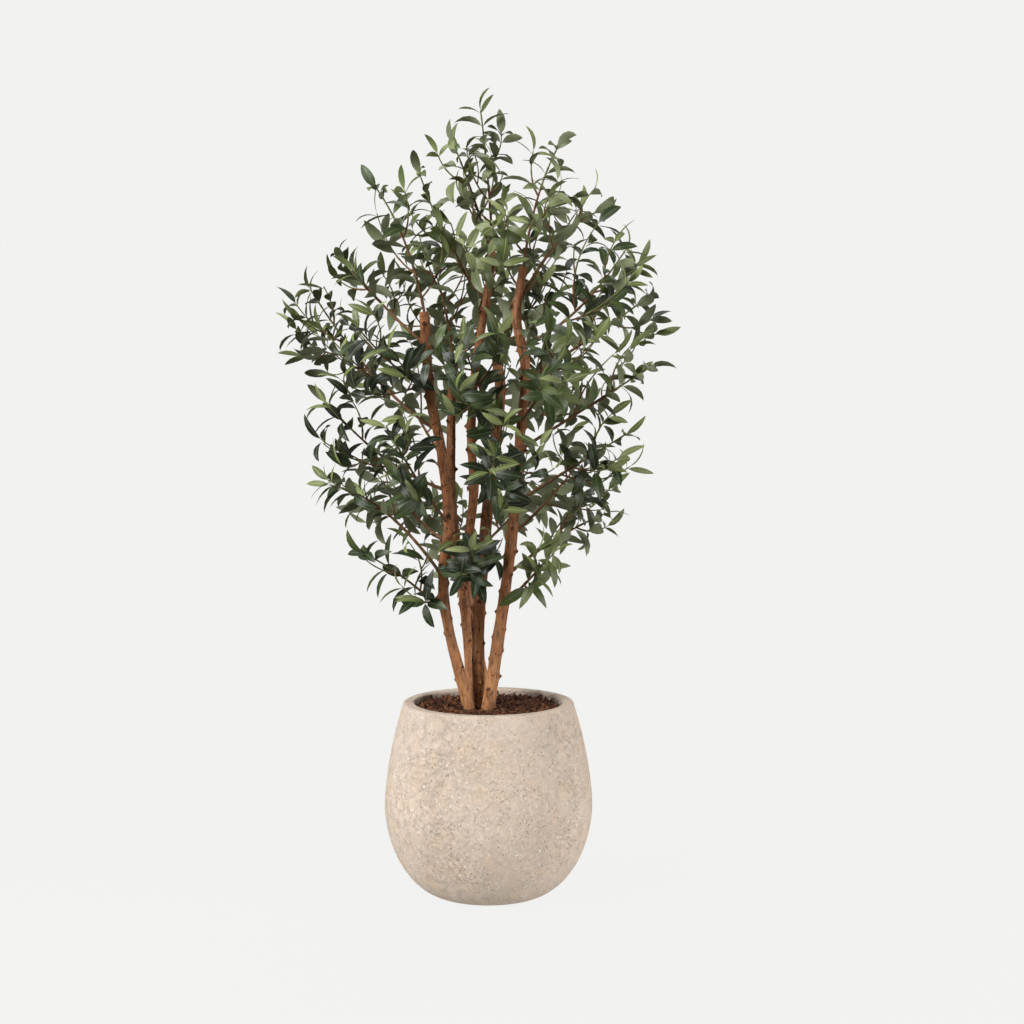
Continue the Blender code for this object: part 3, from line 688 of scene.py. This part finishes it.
def along(curve, start, end, count):
    """Evenly spaced points of a curve, from one share of it to another."""
    return [curve(start + (end - start) * i / count) for i in range(count + 1)]


def leave_stem(name, curve):
    """Share of the spray's curve at which it comes out of its stem's bark."""
    stem, hole = SPRAYS[name][:2]
    if hole is None:
        return 0.0
    path = stem_path(stem, 0.004)
    for step in range(1, 400):
        point = curve(step / 400)
        centre = path_at_height(path, point.z)
        away = Vector((point.x - centre.x, point.y - centre.y))
        if away.length > stem_radius(stem, point.z) + SEAT:
            return step / 400
    return 0.0


def limb(path, radii, sides, tip_cap=True):
    """A closed limb of square-cut rings along a path, rounded at its end."""
    verts, across = [], None
    for index, point in enumerate(path):
        ahead = path[min(index + 1, len(path) - 1)] - path[max(index - 1, 0)]
        ahead.normalize()
        if across is None:
            across = ahead.orthogonal()
        across = (across - ahead * across.dot(ahead)).normalized()
        beside = ahead.cross(across)
        for side in range(sides):
            angle = 2 * math.pi * side / sides
            verts.append(point + (across * math.cos(angle) + beside * math.sin(angle))
                         * radii[index])
    faces = [tuple(range(sides))[::-1]]
    for ring in range(len(path) - 1):
        for side in range(sides):
            turn = (side + 1) % sides
            a, b = ring * sides + side, ring * sides + turn
            faces.append((a, b, b + sides, a + sides))
    last = (len(path) - 1) * sides
    if tip_cap:
        verts.append(path[-1] + (path[-1] - path[-2]).normalized() * radii[-1])
        faces += [(last + side, last + (side + 1) % sides, len(verts) - 1)
                  for side in range(sides)]
    else:
        faces.append(tuple(range(last, last + sides)))
    return verts, faces


class Joined:
    """Gathers many small shapes into one mesh."""

    def __init__(self):
        self.verts, self.faces, self.looks = [], [], []

    def add(self, verts, faces, looks=0):
        base = len(self.verts)
        self.verts += [tuple(v) for v in verts]
        self.faces += [tuple(base + i for i in face) for face in faces]
        self.looks += looks if isinstance(looks, list) else [looks] * len(faces)


def taped_radius(base, run, seed):
    """A limb's radius at a length along it: tape laps and small lumps."""
    lap = (run / TAPE_LAP + seed) % 1.0
    return base * (1 + 0.05 * lap + 0.10 * noise.noise(Vector((seed, 0.7, run * 160))))


def floral_tape(name, code, darker, lighter, crepe_mm):
    """Crepe floral tape, wound: matt and waxy, with cross laps and paler stretched places.
    The crepe, under 1 mm, is drawn at crepe_mm so that it shows."""
    made, tree, shader = new_material(name, 0.78, 0.3)
    place = add_node(tree, "TexCoord", gives="Object")
    laps = patches(tree, place, crepe_mm, 0.34, 0.68, 3)
    colour = add_node(tree, "Mix", {0: laps, 6: linear(code), 7: linear(darker)}, 2,
                      data_type="RGBA")
    colour = stain(tree, colour, patches(tree, place, 17, 0.42, 0.66), 0.6, lighter)
    dress(tree, shader, colour, laps, 0.5, 0.7)
    return made


boughs = Joined()
for number, name in enumerate(SPRAYS):
    if not SPRAYS[name][4]:
        continue
    curve = spray_curve(name)
    length = (curve(BOUGH_SHARE) - curve(0)).length
    count = max(6, round(length / BOUGH_STEP))
    path = along(curve, 0.0, BOUGH_SHARE, count)
    leaves_at = leave_stem(name, curve) / BOUGH_SHARE
    radii = []
    for i in range(count + 1):
        share = i / count
        from_hole = (share - leaves_at) * length
        collar = 1 + HOLE_COLLAR * math.exp(-(from_hole / HOLE_COLLAR_REACH) ** 2)
        base = HOLE_RADIUS + (BOUGH_TIP_RADIUS - HOLE_RADIUS) * share
        radii.append(taped_radius(base * collar, share * length, number * 3.7))
    boughs.add(*limb(path, radii, BOUGH_SIDES, tip_cap=False))

bough_wires = shaded("boughs_taped_wire", boughs.verts, boughs.faces,
                     [floral_tape("floral_tape_brown", "#6c4e35", "#46311e", "#7c5a3c", 3.0)],
                     sharp_degrees=60)
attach(bough_wires, "root")
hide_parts(*["bough_" + name for name in SPRAYS if SPRAYS[name][4]])


# Twigs: the sprays' own wires, branching from the boughs' tips, the stems' sides and
# their cut tops. They are thinner wires in the same tape, brown at first and green
# at the ends. Every twig keeps to its spray's own room and clear of the limbs.

GROW_SEED = 27
REACH = 0.128
OPEN_ENOUGH = 0.055
SPACE_GAP = 0.0035
LIMB_GAP = 0.0025
LOWEST_LEAF = 0.500
SPARSE = {"low_left": 0.40, "front_low": 0.45, "low_right": 0.45, "right_low": 0.60,
          "left_low": 0.65, "leader_tall": 0.40, "top_left": 0.45, "leader_right": 0.50,
          "upper_inner": 0.60, "upper_left": 0.60, "left_high": 0.80, "left_shoulder": 0.70,
          "left_mid": 0.85, "right_high": 0.75, "right_shoulder": 0.60, "right_mid": 0.80,
          "right_mid_low": 0.80, "front_top": 0.80}
SPINE_END_RADIUS = 0.0013
TWIG_RADIUS = 0.0019
TWIG_END_RADIUS = 0.0010
TWIG_SIDES = 7
TWIG_STEP = 0.005
TWIG_EVERY = 0.034
TWIG_LENGTH = 0.172
TWIG_SHARES = (1.0, 0.80, 0.62, 0.46)
TWIG_SPREADS = (0.34, 0.52)
TWIG_ROLLS = 8
FINE_TWIG_LENGTH = 0.062
FORKS_ABOVE = 0.085
MOST_TWIGS = 14
PAIR_EVERY = 0.0338
SPINE_GREEN_FROM = 0.62
TWIG_GREEN_FROM = 0.42


class Room:
    """Says whether points lie in a spray's own space and clear of every limb."""

    def __init__(self):
        self.owners = list(SPRAYS)
        self.spine_a, self.spine_b, self.spine_owner = [], [], []
        self.limb_a, self.limb_b, self.limb_radius = [], [], []
        for index, name in enumerate(self.owners):
            self.add_spine(index, name)
        for stem in STEMS:
            path = stem_path(stem, 0.03)
            self.add_limb(path, [stem_radius(stem, p.z) for p in path])
        self.spine_a, self.spine_b = np.array(self.spine_a), np.array(self.spine_b)
        self.limb_a, self.limb_b = np.array(self.limb_a), np.array(self.limb_b)
        self.spine_owner = np.array(self.spine_owner)
        self.limb_radius = np.array(self.limb_radius)
        self.leaf_spots = []

    def add_spine(self, index, name):
        """The line that a spray's own space lies about, and its bough as a limb."""
        curve = spray_curve(name)
        share = BOUGH_SHARE if SPRAYS[name][4] else 0.0
        path = along(curve, share, 1.0, 10)
        self.spine_a += [p[:] for p in path[:-1]]
        self.spine_b += [p[:] for p in path[1:]]
        self.spine_owner += [index] * 10
        if share:
            self.add_limb(along(curve, 0, share * 0.98, 6), [HOLE_RADIUS] * 7)

    def add_limb(self, path, radii):
        self.limb_a += [p[:] for p in path[:-1]]
        self.limb_b += [p[:] for p in path[1:]]
        self.limb_radius += radii[:-1]

    @staticmethod
    def distances(points, a, b):
        """Distance of every point from every straight piece a to b."""
        run = b - a
        offset = points[:, None, :] - a[None]
        share = (offset * run).sum(-1) / (run * run).sum(-1)
        nearest = a[None] + run[None] * np.clip(share, 0, 1)[..., None]
        return np.linalg.norm(points[:, None, :] - nearest, axis=-1)

    def allows(self, name, points):
        """Whether a spray may grow through these points."""
        points = np.array([p[:] for p in points])
        if points[:, 2].min() < LOWEST_LEAF:
            return False
        away = self.distances(points, self.spine_a, self.spine_b)
        mine = self.spine_owner == self.owners.index(name)
        own = away[:, mine].min(axis=1)
        other = away[:, ~mine].min(axis=1)
        if (own > REACH).any() or (other - own < SPACE_GAP).any():
            return False
        limbs = self.distances(points, self.limb_a, self.limb_b) - self.limb_radius
        return bool((limbs > LIMB_GAP).all())

    def openness(self, points):
        """How far, on average, the points are from the nearest leaf grown so far, where
        anything beyond OPEN_ENOUGH counts the same."""
        spots = np.array(self.leaf_spots)
        offset = np.array([p[:] for p in points])[:, None, :] - spots[None]
        nearest = np.linalg.norm(offset, axis=-1).min(axis=1)
        return float(np.minimum(nearest, OPEN_ENOUGH).mean())


def square_to(ahead, roll):
    """A direction square to a twig, turned by roll."""
    across = ahead.orthogonal().normalized()
    return across * math.cos(roll) + ahead.cross(across) * math.sin(roll)


# Leaves: stamped from coated polyester cloth and bent by hand over the twigs, in
# opposite pairs. The upper side is dark satin green with a pale midrib, the under
# side is grey-green and matt, and the young ones at the tips are slim and fresh.

LEAF_LENGTH = 0.062
LEAF_WIDTH = 0.0196
LEAF_THICK = 0.00035
MIDRIB_WIDTH = 0.0009
LEAF_STATIONS = ((0.0, 0.07), (0.06, 0.11), (0.16, 0.58), (0.30, 0.92), (0.47, 1.0),
                 (0.67, 0.86), (0.86, 0.46), (1.0, 0.0))
LEAF_ANGLE = math.radians(52)
LEAF_BEND = (36, 104)
YOUNG_BEND = (25, 75)
YOUNG_WIDTH = 0.78
YOUNG_SHARE = 0.62
TRIES = 4
TOP_TONES = ("#121b08", "#19240c", "#253215", "#34411e", "#3f4c21", "#555f35", "#6f7850")
YOUNG_TONES = ("#525c2f", "#636e3d", "#788053")
UNDER_TONES = ("#6b7356", "#7b8364", "#8e9577")
FIRST_YOUNG = len(TOP_TONES)
FIRST_UNDER = FIRST_YOUNG + len(YOUNG_TONES)
YOUNG_UNDER = FIRST_UNDER + len(UNDER_TONES)
YOUNG_MIDRIB = YOUNG_UNDER + 1
MIDRIB = YOUNG_MIDRIB + 1


def leaf_blade(root, ahead, up, length, width, bend, gutter, twist, tones):
    """A closed blade: petiole, midrib strip and pointed tip, arched over its length."""
    side = ahead.cross(up).normalized()
    up = side.cross(ahead).normalized()
    top_look, rib_look, under_look = tones
    centre = root.copy()
    verts, faces, looks = [], [], []
    last_share = 0.0
    for share, spread in LEAF_STATIONS:
        angle = bend * ((share + last_share) / 2) ** 1.15
        step = (share - last_share) * length
        centre = centre + (ahead * math.cos(angle) - up * math.sin(angle)) * step
        last_share = share
        angle = bend * share ** 1.15
        normal = up * math.cos(angle) + ahead * math.sin(angle)
        turn = twist * share
        wide = side * math.cos(turn) + normal * math.sin(turn)
        normal = normal * math.cos(turn) - side * math.sin(turn)
        if spread == 0.0:
            verts.append(centre)
            break
        half = width / 2 * spread
        rib = min(MIDRIB_WIDTH / 2, half * 0.45)
        for x in (-half, -half * 0.55, -rib, rib, half * 0.55, half):
            lift = gutter * abs(x) - 0.6 * gutter * x * x / max(half, 1e-6)
            verts.append(centre + wide * x + normal * lift)
        verts.append(centre - normal * min(LEAF_THICK, half))
    rings = len(LEAF_STATIONS) - 1
    top_looks = (top_look, top_look, rib_look, top_look, top_look)
    for ring in range(rings - 1):
        low, high = ring * 7, ring * 7 + 7
        for strip in range(5):
            faces.append((low + strip, low + strip + 1, high + strip + 1, high + strip))
            looks.append(top_looks[strip])
        faces += [(low + 5, low + 6, high + 6, high + 5), (low + 6, low, high, high + 6)]
        looks += [under_look, under_look]
    low, tip = (rings - 1) * 7, rings * 7
    for strip in range(5):
        faces.append((low + strip, low + strip + 1, tip))
        looks.append(top_looks[strip])
    faces += [(low + 5, low + 6, tip), (low + 6, low, tip), (6, 5, 4, 3, 2, 1, 0)]
    looks += [under_look, under_look, under_look]
    return verts, faces, looks


def blade_samples(verts):
    """Points over a blade, for asking whether its room allows it."""
    picks = [verts[ring * 7 + place] for ring in (2, 3, 4, 5, 6) for place in (0, 5)]
    return picks + [verts[-1], verts[5 * 7 + 6]]


def coarse_blade(verts):
    """The blade in four faces, for asking whether it cuts a neighbour."""
    picks = [verts[0], verts[2 * 7], verts[2 * 7 + 5], verts[4 * 7], verts[4 * 7 + 5],
             verts[-1]]
    return picks, [(0, 1, 2), (1, 3, 4, 2), (3, 5, 4)]


class Spray:
    """One spray: its spine first, then side twigs, finer twigs and leaves."""

    def __init__(self, name, room, twigs, leaves):
        self.name, self.room, self.twigs, self.leaves = name, room, twigs, leaves
        self.number = list(SPRAYS).index(name)
        self.chance = random.Random(GROW_SEED + 101 * self.number)
        self.curve = spray_curve(name)
        self.on_bough = SPRAYS[name][4]
        self.start = BOUGH_SHARE if self.on_bough else leave_stem(name, self.curve)
        self.roll = self.chance.uniform(0, math.tau)
        self.tone = self.chance.choice((0, 1, 1, 2, 2, 3, 4, 5))
        self.blades = []

    def heading(self, place):
        """Which way the spine runs at a share of its length."""
        return (self.curve(place) - self.curve(place - 0.01)).normalized()

    def add_limb(self, path, thick, thin, sides=TWIG_SIDES, green_from=1.0):
        """A taped twig with a slight swelling where each pair of leaves sits."""
        radii, run = [], 0.0
        for i, point in enumerate(path):
            if i:
                run += (point - path[i - 1]).length
            share = i / (len(path) - 1)
            swell = 1 + 0.28 * math.exp(-(((run / PAIR_EVERY) % 1.0 - 0.5) / 0.10) ** 2)
            radii.append((thick + (thin - thick) * share) * swell)
        verts, faces = limb(path, radii, sides)
        looks = [0] * len(faces)
        for ring in range(len(path) - 1):
            if ring / (len(path) - 1) > green_from:
                looks[1 + ring * sides:1 + (ring + 1) * sides] = [1] * sides
        if green_from < 1:
            looks[-sides:] = [1] * sides
        self.twigs.add(verts, faces, looks)

    def leaf_tones(self, young):
        """Which cloths a leaf's top, midrib and under side are of."""
        if young:
            return FIRST_YOUNG + self.chance.choice((0, 0, 1, 1, 2)), YOUNG_MIDRIB, YOUNG_UNDER
        step = self.chance.choice((-1, 0, 0, 0, 1, 1, 2))
        top = max(0, min(FIRST_YOUNG - 1, self.tone + step))
        return top, MIDRIB, FIRST_UNDER + self.chance.choice((0, 1, 1, 2))

    def add_leaf(self, root, ahead, spoke, angle, young=False, size=1.0):
        """A leaf on a twig, unless it leaves the spray's room or cuts a neighbour."""
        chance = self.chance
        length = LEAF_LENGTH * size * chance.uniform(0.88, 1.12)
        width = LEAF_WIDTH * size * chance.uniform(0.86, 1.12) * (YOUNG_WIDTH if young else 1.0)
        bend = math.radians(chance.uniform(*(YOUNG_BEND if young else LEAF_BEND)))
        lean = (ahead * math.cos(angle) + spoke * math.sin(angle)).normalized()
        up = ahead * math.sin(angle) - spoke * math.cos(angle) if angle else spoke
        outward = Vector((root.x, root.y, 0)).normalized()
        turned = square_to(lean, chance.uniform(0, math.tau)) * chance.uniform(0.2, 0.8)
        up = up * 0.75 + outward * 0.35 + Vector((0, 0, 0.2)) + turned
        if lean.cross(up).length < 0.1:
            return False
        shape = leaf_blade(root, lean, up, length, width, bend,
                           chance.uniform(0.15, 0.55), chance.uniform(-0.5, 0.5),
                           self.leaf_tones(young))
        if not self.room.allows(self.name, blade_samples(shape[0])):
            return False
        tree = BVHTree.FromPolygons(*coarse_blade(shape[0]))
        if any(tree.overlap(other) for other in self.blades):
            return False
        self.blades.append(tree)
        self.leaves.add(*shape)
        self.room.leaf_spots.append(((shape[0][0] + shape[0][-1]) / 2)[:])
        return True

    def add_pair(self, root, ahead, roll, radius, young=False, size=1.0):
        """Two opposite leaves, turned a little until both find room."""
        grown = 0
        for sign in (1, -1):
            for turn in range(TRIES):
                spoke = square_to(ahead, roll + turn * 0.45) * sign
                angle = LEAF_ANGLE * self.chance.uniform(0.65, 1.25)
                foot = root + spoke * radius * 0.4
                if self.add_leaf(foot, ahead, spoke, angle, young, size):
                    grown += 1
                    break
        return grown

    def add_tip(self, end, ahead, roll):
        """A twig's growing end: a small fresh pair and one leaf straight on."""
        young = self.chance.random() < YOUNG_SHARE
        self.add_pair(end - ahead * 0.006, ahead, roll, 0.0008, young, 0.84)
        self.add_leaf(end - ahead * 0.0005, ahead, square_to(ahead, roll + 0.6), 0,
                      young, 0.88)

    def twig_course(self, start, ahead, spoke, reach, spread):
        """A side twig's curve: out from its parent, then round to run beside it."""
        middle = start + (ahead * 0.34 + spoke * spread * 0.95) * reach
        end = start + (ahead * 0.86 + spoke * spread) * reach
        end.z += reach * 0.08
        return lambda t: start * (1 - t) ** 2 + middle * 2 * t * (1 - t) + end * t * t

    def add_twig(self, place, length, parent=None, level=1):
        """Grows a side twig into the emptiest room in reach, shortened until one fits."""
        parent = parent or self.curve
        start, ahead = parent(place), (parent(place) - parent(place - 0.02)).normalized()
        turned = self.chance.uniform(0, math.tau)
        for share in TWIG_SHARES:
            reach, best, course = length * share, 0.0, None
            for index in range(TWIG_ROLLS * len(TWIG_SPREADS)):
                spoke = square_to(ahead, turned + index * math.tau / TWIG_ROLLS)
                spread = TWIG_SPREADS[index // TWIG_ROLLS]
                choice = self.twig_course(start, ahead, spoke, reach, spread)
                spots = [choice(t) for t in (0.4, 0.6, 0.8, 1.0)]
                if self.room.allows(self.name, spots):
                    open_by = self.room.openness(spots[1:])
                    if open_by > best:
                        best, course = open_by, choice
            if course:
                break
        else:
            return
        count = max(6, round(reach / TWIG_STEP))
        thick = TWIG_RADIUS if level == 1 else TWIG_RADIUS * 0.75
        self.add_limb(along(course, 0, 1, count), thick, TWIG_END_RADIUS, 6,
                      TWIG_GREEN_FROM)
        roll = self.chance.uniform(0, math.tau)
        run = 0.020
        while run < reach - 0.014:
            place = run / reach
            heading = (course(place) - course(place - 0.05)).normalized()
            self.add_pair(course(place), heading, roll, thick, size=1.06 - 0.2 * place)
            roll += math.pi / 2
            run += PAIR_EVERY * self.chance.uniform(0.9, 1.15)
        self.add_tip(course(1.0), (course(1.0) - course(0.95)).normalized(), roll)
        if level == 1 and reach > FORKS_ABOVE:
            self.add_twig(self.chance.uniform(0.3, 0.5),
                          FINE_TWIG_LENGTH * self.chance.uniform(0.75, 1.2), course, 2)

    def grow_spine(self):
        """The spray's own wire with its pairs of leaves, tip first."""
        share = 1 - self.start
        self.length = sum((self.curve(self.start + share * (i + 1) / 8)
                           - self.curve(self.start + share * i / 8)).length for i in range(8))
        root = self.start if self.on_bough or SPRAYS[self.name][1] is None else 0.0
        count = max(10, round(self.length / TWIG_STEP))
        self.add_limb(along(self.curve, root, 1.0, count), BOUGH_TIP_RADIUS,
                      SPINE_END_RADIUS, 9, SPINE_GREEN_FROM)
        self.add_tip(self.curve(1.0), self.heading(1.0), self.roll)
        run = 0.030
        while run < self.length - 0.016:
            place = 1.0 - share * run / self.length
            self.add_pair(self.curve(place), self.heading(place), self.roll, 0.002)
            self.roll += math.pi / 2
            run += PAIR_EVERY * self.chance.uniform(0.92, 1.12)

    def grow_side(self, index):
        """The spray's next side twig, while it has any left to grow."""
        fullness = SPARSE.get(self.name, 1.0)
        if index >= max(3, round(self.length * 0.74 / TWIG_EVERY * fullness)):
            return
        along_spine = (index * 0.618 + 0.1) % 1.0
        place = self.start + (1 - self.start) * (0.02 + 0.72 * along_spine)
        size = min(TWIG_LENGTH, (1 - place) / (1 - self.start) * self.length * 0.86 + 0.024)
        size *= math.sqrt(fullness) * self.chance.uniform(0.85, 1.1)
        self.add_twig(place, size)


def coated_cloth(name, code, roughness, specular):
    """Coated polyester leaf cloth: one dyed colour, satin where it is coated, with pressed
    side veins. The veins, about 3 mm apart, are drawn at 6 mm so that they show."""
    made, tree, shader = new_material(name, roughness, specular)
    shader.inputs["Base Color"].default_value = linear(code)
    place = add_node(tree, "TexCoord", gives="Object")
    veins = add_node(tree, "TexNoise", {"Vector": place, "Scale": 1000 / 6, "Detail": 1,
                                        "Distortion": 0.4})
    pressed = add_node(tree, "Bump", {"Height": veins, "Distance": 0.0004, "Strength": 0.3})
    tree.links.new(pressed, shader.inputs["Normal"])
    worn = add_node(tree, "MapRange", {"Value": veins, "From Min": 0.3, "From Max": 0.7,
                                       "To Min": roughness - 0.07, "To Max": roughness + 0.09})
    tree.links.new(worn, shader.inputs["Roughness"])
    return made


leaf_cloths = []
for side, codes, roughness, specular in (("top", TOP_TONES, 0.46, 0.36),
                                         ("young", YOUNG_TONES, 0.52, 0.35),
                                         ("under", UNDER_TONES, 0.72, 0.25)):
    leaf_cloths += [coated_cloth("leaf_cloth_%s_%d" % (side, i), code, roughness, specular)
                    for i, code in enumerate(codes)]
leaf_cloths += [coated_cloth("leaf_cloth_young_under", "#7d895a", 0.70, 0.25),
                coated_cloth("leaf_cloth_young_midrib", "#8f9968", 0.60, 0.3),
                coated_cloth("leaf_cloth_midrib", "#5c6650", 0.58, 0.3)]

room = Room()
all_twigs = Joined()
by_height = sorted(SPRAYS, key=lambda name: SPRAYS[name][2][2])
thirds = {"lower": by_height[:11], "middle": by_height[11:22], "upper": by_height[22:]}
third_leaves = {third: Joined() for third in thirds}
sprays = [Spray(name, room, all_twigs, third_leaves[third])
          for third, names in thirds.items() for name in names]
for spray in sprays:
    spray.grow_spine()
for index in range(MOST_TWIGS):
    for spray in sprays:
        spray.grow_side(index)
for third, names in thirds.items():
    grown = third_leaves[third]
    foliage = shaded("leaves_%s_crown" % third, grown.verts, grown.faces, leaf_cloths,
                     grown.looks, sharp_degrees=70)
    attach(foliage, "root")
    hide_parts(*["leaves_" + name for name in names])

# The twigs grew along with their leaves, so their mesh can only be made here
twig_wires = shaded("twigs_taped_wire", all_twigs.verts, all_twigs.faces,
                    [floral_tape("floral_tape_twig", "#68492f", "#46321e", "#765a36", 2.5),
                     floral_tape("floral_tape_green", "#6a673f", "#504d2e", "#7a804c", 2.5)],
                    all_twigs.looks, sharp_degrees=60)
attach(twig_wires, "root")
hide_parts(*["leaves_" + name for name in SPRAYS])


# Studio: a pale floor that runs into a pale surround. Large soft lights stand left,
# right, above and behind, two low ones with grids light the planter's foot, and a lamp
# at floor level stands in for the floor's bounce. The camera is at the photograph's place.

BACKGROUND = "#f2f2f0"
FLOOR_RADIUS_SEEN = 1.6


def studio_floor():
    """Pale painted board, matt. It glows by itself, so that it is as pale as the surround
    and shows no shadow."""
    made, tree, shader = new_material("studio_board_pale", 0.9, 0.0)
    shader.inputs["Base Color"].default_value = linear("#1e1e1d")
    shader.inputs["Emission Color"].default_value = linear(BACKGROUND)
    shader.inputs["Emission Strength"].default_value = 0.98
    return made


bpy.ops.mesh.primitive_circle_add(vertices=96, radius=FLOOR_RADIUS_SEEN, fill_type="NGON",
                                  location=(0, 0, -0.0004))
studio_board = bpy.context.object
studio_board.name = "studio_board"
studio_board.data.materials.append(studio_floor())
studio_board.visible_diffuse = False
studio_board.visible_glossy = False

world = bpy.data.worlds.new("pale_surround")
bpy.context.scene.world = world
world.use_nodes = True
# The camera sees the surround's own tone, and the tree is lit by a weaker, warmer one
surround = world.node_tree
seen = surround.nodes["Background"]
seen.inputs["Color"].default_value = linear(BACKGROUND)
seen.inputs["Strength"].default_value = 1.0
fill = add_node(surround, "Background", {"Color": linear("#f6f1e8"), "Strength": 0.22})
to_camera = add_node(surround, "LightPath", gives="Is Camera Ray")
either = add_node(surround, "MixShader", {0: to_camera, 1: fill, 2: seen.outputs[0]})
surround.links.new(either, surround.nodes["World Output"].inputs["Surface"])


def soft_light(name, place, target, size, watts, spread=180):
    """A softbox aimed at target. A spread under 180 degrees is a grid on its front."""
    lamp = bpy.data.lights.new(name, "AREA")
    lamp.shape = "RECTANGLE"
    lamp.size, lamp.size_y = size
    lamp.energy = watts
    lamp.spread = math.radians(spread)
    made = bpy.data.objects.new(name, lamp)
    made.location = place
    made.rotation_euler = (Vector(target) - Vector(place)).to_track_quat("-Z", "Y").to_euler()
    bpy.context.scene.collection.objects.link(made)
    return made


soft_light("softbox_left", (-2.7, -1.9, 2.2), (0, 0, 0.7), (1.4, 1.9), 185)
soft_light("softbox_right", (2.9, -1.3, 1.4), (0, 0, 0.5), (1.3, 1.8), 80)
soft_light("softbox_above", (-0.6, 0.5, 3.6), (0, 0, 1.0), (1.6, 1.4), 58)
soft_light("softbox_back", (1.4, 2.6, 2.0), (0, 0, 0.8), (1.6, 1.6), 16)
soft_light("softbox_low_left", (-1.8, -1.4, 0.13), (0, 0, 0.04), (0.9, 0.2), 0.85, 40)
soft_light("softbox_low_right", (1.9, -1.2, 0.13), (0, 0, 0.04), (0.9, 0.2), 1.3, 40)
floor_bounce = soft_light("softbox_floor_bounce", (0, 0, 0.003), (0, 0, 1), (0.62, 0.62), 0.5)
floor_bounce.visible_camera = False

CAMERA_LENS = 68.7
lens = bpy.data.cameras.new("camera")
lens.sensor_width = 36
lens.lens = CAMERA_LENS
camera = bpy.data.objects.new("camera", lens)
camera.location = (0, -3.708, 1.0386)
camera.rotation_euler = (math.radians(90 - 4.65), 0, -math.radians(0.695))
bpy.context.scene.collection.objects.link(camera)
bpy.context.scene.camera = camera
bpy.context.scene.view_settings.view_transform = "Standard"
